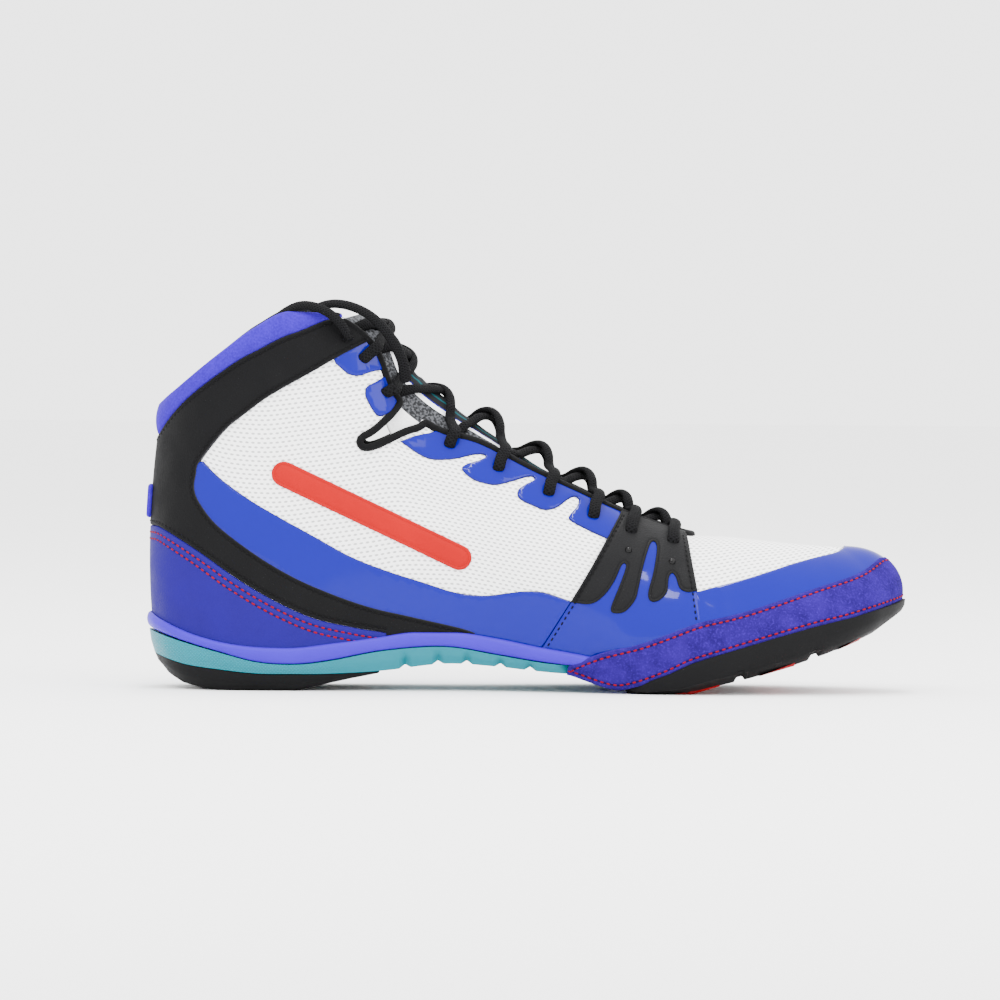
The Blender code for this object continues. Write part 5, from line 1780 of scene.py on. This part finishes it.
    def half(self, places: Array) -> Array:
        """One side of the forefoot's cup, from its middle over the rim and back under.

        Args:
            places: the sections' places.

        Returns:
            The side's points, by section.
        """
        foot, out = LAST.foot(places), LAST.outward(places)
        low = self.tread(foot[:, 0])
        floor = LAST.height_of(TREAD_BOTTOM)(foot[:, 0]) + self.thickness
        first, last = LAST.along(np.array(self.cup_span))
        grown = np.clip((foot[:, 0] - first) / (last - first), 0.0, 1.0)
        rim = np.maximum(LAST.height_of(GUARD_FOOT)(foot[:, 0]) + self.cup_lap, floor + 0.0004)
        stops = [LAST.level(lambda x, z=z: z, places, -0.25, 0.6)
                 for z in (rim, (low + rim * 2.0) / 3.0, (low * 2.0 + rim) / 3.0)]
        flat = foot[:, None] - np.array((0.0046, 0.0044, 0.0042, 0.0042, 0.0042))[:, None] * out[:, None]
        flat[..., 2] = np.stack([floor, floor, floor, low + 0.0024, low + 0.0016], axis=1)
        root = foot + out * 0.0005
        root[:, 2] = floor
        wall = np.stack([root, LAST.skin(places, stops[0], 0.0003),
                         LAST.skin(places, stops[0], 0.0003 + self.cup_wall * 0.9),
                         LAST.skin(places, stops[1], 0.0003 + self.cup_wall),
                         LAST.skin(places, stops[2], 0.0003 + self.cup_wall * 0.85)], axis=1)
        edge = foot - out * self.tread_inset
        edge[:, 2] = self.tread(edge[:, 0])
        return np.concatenate([flat + (wall - flat) * grown[:, None, None], edge[:, None]], axis=1)

    def outsole(self) -> None:
        """The forefoot's cup, whose wall rises round the toe."""
        places = np.linspace(12.0, 20.0, 241)
        self.close("forefoot_cup", self.half(places), self.half(-places), self.tread, "black_rubber",
                   "forefoot_outsole", (True, False))

    def insert(self, index: int, first: float, last: float, rise: float) -> None:
        """One red insert in the tread, seen along the sole's lower edge.

        Args:
            index: its number.
            first: where it starts, as a share of the length.
            last: where it ends.
            rise: how far it stands up the sole's edge.
        """
        low = LAST.height_of(TREAD_BOTTOM)
        grid = np.linspace(11.0, 20.0, 400)
        places = np.interp(np.linspace(first, last, 25), LAST.value("foot_x", grid), grid)
        grown = np.linspace(0.1, 1.0, 25)[:, None] * rise
        sides = []
        for stations in (places, -places):
            foot, out = LAST.foot(stations), LAST.outward(stations)
            points = foot[:, None] - np.array((0.0080, 0.0039, 0.0057))[:, None] * out[:, None]
            points[..., 2] = np.maximum(low(points[..., 0]) - self.insert_sunk, 0.0)
            points[:, :2, 2] += grown
            sides.append(points)
        across = np.linspace(0.0, 1.0, 9)[1:-1, None]
        under = sides[0][:, -1:] + (sides[1][:, -1:] - sides[0][:, -1:]) * across
        under[..., 2] = np.maximum(low(under[..., 0]) - self.insert_sunk, 0.0)
        rows = np.concatenate([sides[0], under, sides[1][:, ::-1]], axis=1)
        piece = wrap_grid(f"tread_insert_{index}", rows, "red_rubber", sharp=40.0)
        finish_mesh(piece)

    def insole(self) -> None:
        """The insole inside the upper's foot."""
        places = np.linspace(1.0, 19.0, 73)
        sides = []
        for stations in (places, -places):
            foot, out = LAST.foot(stations), LAST.outward(stations)
            points = foot[:, None] - np.array((0.0042, 0.0036, 0.0036))[:, None] * out[:, None]
            points[..., 2] = foot[:, 2:] + np.array((0.0030, 0.0024, 0.0003))
            sides.append(points)
        rows = np.concatenate([sides[0], sides[1][:, ::-1]], axis=1)
        piece = wrap_grid("insole_cloth", np.array(rows), "lining")
        finish_mesh(piece)
        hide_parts("insole")


# Tongue and laces


def tongue_frame(place: Array, share: Array, depth: float) -> tuple[Array, Array]:
    """A point of the tongue and the direction out of it.

    Args:
        place: the rib.
        share: how far across from the medial edge, nought to one.
        depth: how far under the tongue's top.

    Returns:
        The point and the direction.
    """
    place, share = np.broadcast_arrays(np.asarray(place, float), np.asarray(share, float))
    medial = LAST.skin(place, TONGUE_SHARE, -TONGUE_DEPTH - depth)
    lateral = LAST.skin(-place, TONGUE_SHARE, -TONGUE_DEPTH - depth)
    edge = np.full(place.shape, TONGUE_SHARE)
    rise = unit(LAST.normal(place, edge) + LAST.normal(-place, edge))
    table = np.array(TONGUE_ROWS)
    crown = np.interp(place, table[:, 0], table[:, 1]) * LAST.ball
    arch = np.sin(math.pi * share)
    return medial + (lateral - medial) * share[..., None] + rise * (crown * arch)[..., None], rise


@dataclass
class TongueWork:
    """The padded tongue and its label strip."""

    thickness: float = 0.0030

    def build(self) -> None:
        """Make the tongue."""
        first, last = TONGUE_ROWS[0][0], TONGUE_ROWS[-1][0]
        places = np.linspace(first, last, 97)[:, None]
        across = np.linspace(0.0, 1.0, 65)
        ends = np.minimum(np.minimum((places - first) * 1.6, (last - places) * 1.6), 1.0)
        half = self.thickness * (1.0 - np.sqrt(1.0 - ends) * 0.9) / 2.0
        hidden = np.array((0.88, 0.91, 0.94, 0.97))
        loops = []
        for sign in (-1.0, 1.0):
            depth = self.thickness / 2.0 + half * sign
            middle, _ = tongue_frame(places, across, depth)
            loops.append(np.concatenate([LAST.skin(places, hidden, -TONGUE_DEPTH - depth), middle,
                                         LAST.skin(-places, hidden[::-1], -TONGUE_DEPTH - depth)], axis=1))
        rows = np.concatenate([loops[0], loops[1][:, ::-1]], axis=1)
        piece = wrap_grid("tongue_padded", rows, "tongue_cloth")
        spread = np.concatenate([np.full(len(hidden), -0.1), across, np.full(len(hidden), 1.1)])
        inner = np.full(len(spread), -0.1)
        set_attribute(piece, "across", np.tile(np.concatenate([spread, inner]), len(places)))
        finish_mesh(piece)
        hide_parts("tongue")
        LOG.info("%s", piece.name)


@dataclass
class LaceWork:
    """The lace, run through the eyelets in crossings, and its two free ends."""

    width: float = 0.0046
    thickness: float = 0.0026
    slack: tuple[float, ...] = (0.0000, 0.0000, 0.0004, 0.0042, 0.0046, 0.0044, 0.0040, 0.0036)
    entry: Line = ((0.0, -0.0035), (0.0, -0.0008), (0.08, 0.0022), (0.45, 0.0032), (1.0, 0.0034))
    leaving: Line = ((0.97, -0.0032), (0.93, -0.0034), (0.90, -0.0030))
    tight_rows: int = 3
    tightness: float = 0.45
    rim_share: float = 0.985
    rest: float = 0.0012

    def build(self) -> None:
        """Make the crossings and the ends."""
        for side in Side:
            holes = list(zip(*LAST.locate(LAST.side_view(EYELETS[1:]), side)))
            for index, hole in enumerate(holes, start=1):
                self.strand(index, hole, side)
        self.free_end("lace_end_rear", LACE_END_REAR)
        self.free_end("lace_end_front", LACE_END_FRONT)

    def strand(self, index: int, hole: tuple[float, float], side: Side) -> None:
        """One strand, from an eyelet over the tongue and under the far edge of the throat.

        Args:
            index: the crossing's number, from the top.
            hole: the place and the share of the eyelet that it goes down into.
            side: the eyelet's side.
        """
        far, near = RIM_RIBS[index - 1], RIM_RIBS[index]
        end = -far * side.value
        start, low = hole
        points = []
        ups = []
        for part, height in self.entry:
            place = start + (near * side.value - start) * part
            share = low + (self.rim_share - low) * part
            points.append(LAST.skin(place, share, height))
            ups.append(LAST.normal(place, share))
        slack = self.slack[index - 1]
        tight = self.tightness if index <= self.tight_rows else 1.0
        above = self.thickness * tight if side is Side.MEDIAL else 0.0
        for share in (0.14, 0.26, 0.38, 0.50, 0.62, 0.74, 0.86):
            place = near + (far - near) * share
            across = share if side is Side.MEDIAL else 1.0 - share
            spot, rise = tongue_frame(place, across, 0.0)
            arch = math.sin(math.pi * share)
            lean = math.sin(math.pi * min(share * 1.35, 1.0))
            points.append(spot + rise * (self.rest + slack * lean + above * arch * arch))
            ups.append(rise)
        for share, height in self.leaving:
            points.append(LAST.skin(end, share, height))
            ups.append(LAST.normal(end, share))
        path = smooth_path(np.array(points), 8)
        turned = unit(smooth_path(np.array(ups), 8))
        piece = sweep(f"lace_strand_{index}_{side.name.lower()}", path, turned, self.width, self.thickness,
                      "lace")
        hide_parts(f"lace_crossing_{index}")

    def free_end(self, name: str, route: tuple) -> None:
        """A free end of the lace.

        Args:
            name: the node that it stands for.
            route: its points, of which the rear end's first gives way to the top eyelet.
        """
        if name == "lace_end_rear":
            place, share = LAST.locate(LAST.side_view(EYELETS[:1]), Side.MEDIAL)
            hole = [LAST.skin(place, share, height)[0] for height in (0.0006, 0.0036)]
            route = [*hole, *route[1:]]
        path = spaced(smooth_path(np.array(route), 8), 0.0012)
        ups = np.tile((0.0, -0.6, 0.8), (len(path), 1))
        piece = sweep(name + "_cord", path, ups, self.width, self.thickness, "lace")
        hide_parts(name)
        length = float(np.linalg.norm(np.diff(path, axis=0), axis=1).sum())
        tuple(path[0])
        [tuple(point) for point in path]
        LOG.info("%s: %.0f mm", piece.name, length / MM)


# Studio

# Soft lights as (name, place, size, power)
LIGHTS = (("key", (-0.3, -1.2, 1.3), (0.9, 0.25), 20.0), ("fill", (1.0, -0.9, 0.8), (0.7, 0.7), 10.0),
          ("top", (0.1, 0.0, 1.4), (1.6, 0.1), 24.0))
PAPER = ((0.93, 0.93, 0.93, 1.0), (0.95, 0.95, 0.95, 1.0))


@dataclass
class Studio:
    """Pale floor, soft lights and the camera."""

    centre: tuple[float, float, float] = (0.0928, 0.0, 0.0724)
    distance: float = 3.20
    elevation: float = 1.5
    azimuth: float = 0.0
    roll: float = 0.38
    view_width: float = 0.3831
    sensor: float = 36.0
    world_strength: float = 3.4
    floor_size: float = 12.0

    def build(self) -> None:
        """Make the floor, the lights and the camera."""
        self.floor()
        self.lights()
        self.camera()

    def floor(self) -> None:
        """A wide pale floor that fades into the backdrop."""
        bpy.ops.object.select_all(action="DESELECT")
        bpy.ops.mesh.primitive_plane_add(size=self.floor_size, location=(0.0, 0.0, 0.0))
        plane = bpy.context.object
        plane.name = "studio_floor"
        sheet = NodeSheet("studio_paper")
        cloud = sheet.noise(3.0)
        sheet.shade(Base_Color=sheet.mix(cloud, *PAPER), Roughness=0.9)
        plane.data.materials.append(sheet.material)

    def lights(self) -> None:
        """White surroundings and three large soft lights."""
        world = bpy.data.worlds.new("studio_white")
        world.use_nodes = True
        backdrop = world.node_tree.nodes["Background"]
        backdrop.inputs["Color"].default_value = (1.0, 1.0, 1.0, 1.0)
        backdrop.inputs["Strength"].default_value = self.world_strength
        bpy.context.scene.world = world
        for name, spot, size, power in LIGHTS:
            light = bpy.data.lights.new("studio_" + name, "AREA")
            light.shape = "RECTANGLE"
            light.size, light.size_y = size
            light.energy = power
            lamp = bpy.data.objects.new("studio_" + name, light)
            lamp.location = spot
            aim = Vector(self.centre) - Vector(spot)
            lamp.rotation_euler = aim.to_track_quat("-Z", "Y").to_euler()
            bpy.context.scene.collection.objects.link(lamp)

    def camera(self) -> None:
        """The camera at the photograph's angle."""
        lens = bpy.data.cameras.new("studio_camera")
        lens.sensor_width = self.sensor
        lens.lens = self.sensor * self.distance / self.view_width
        camera = bpy.data.objects.new("studio_camera", lens)
        low, turn = math.radians(self.elevation), math.radians(self.azimuth)
        back = Vector((math.sin(turn) * math.cos(low), -math.cos(turn) * math.cos(low), math.sin(low)))
        camera.location = Vector(self.centre) + back * self.distance
        aim = (-back).to_track_quat("-Z", "Y")
        camera.rotation_euler = aim.to_euler()
        camera.rotation_euler.rotate_axis("Z", math.radians(self.roll))
        bpy.context.scene.collection.objects.link(camera)
        bpy.context.scene.camera = camera


def main() -> None:
    """Build the studio and the shoe, piece by piece."""
    Studio().build()
    LaceWork().build()
    TongueWork().build()
    UpperWork().build()
    SoleWork().build()
    STITCHES.build()


if __name__ == "__main__":
    logging.basicConfig(level=logging.INFO, format="%(message)s")
    main()
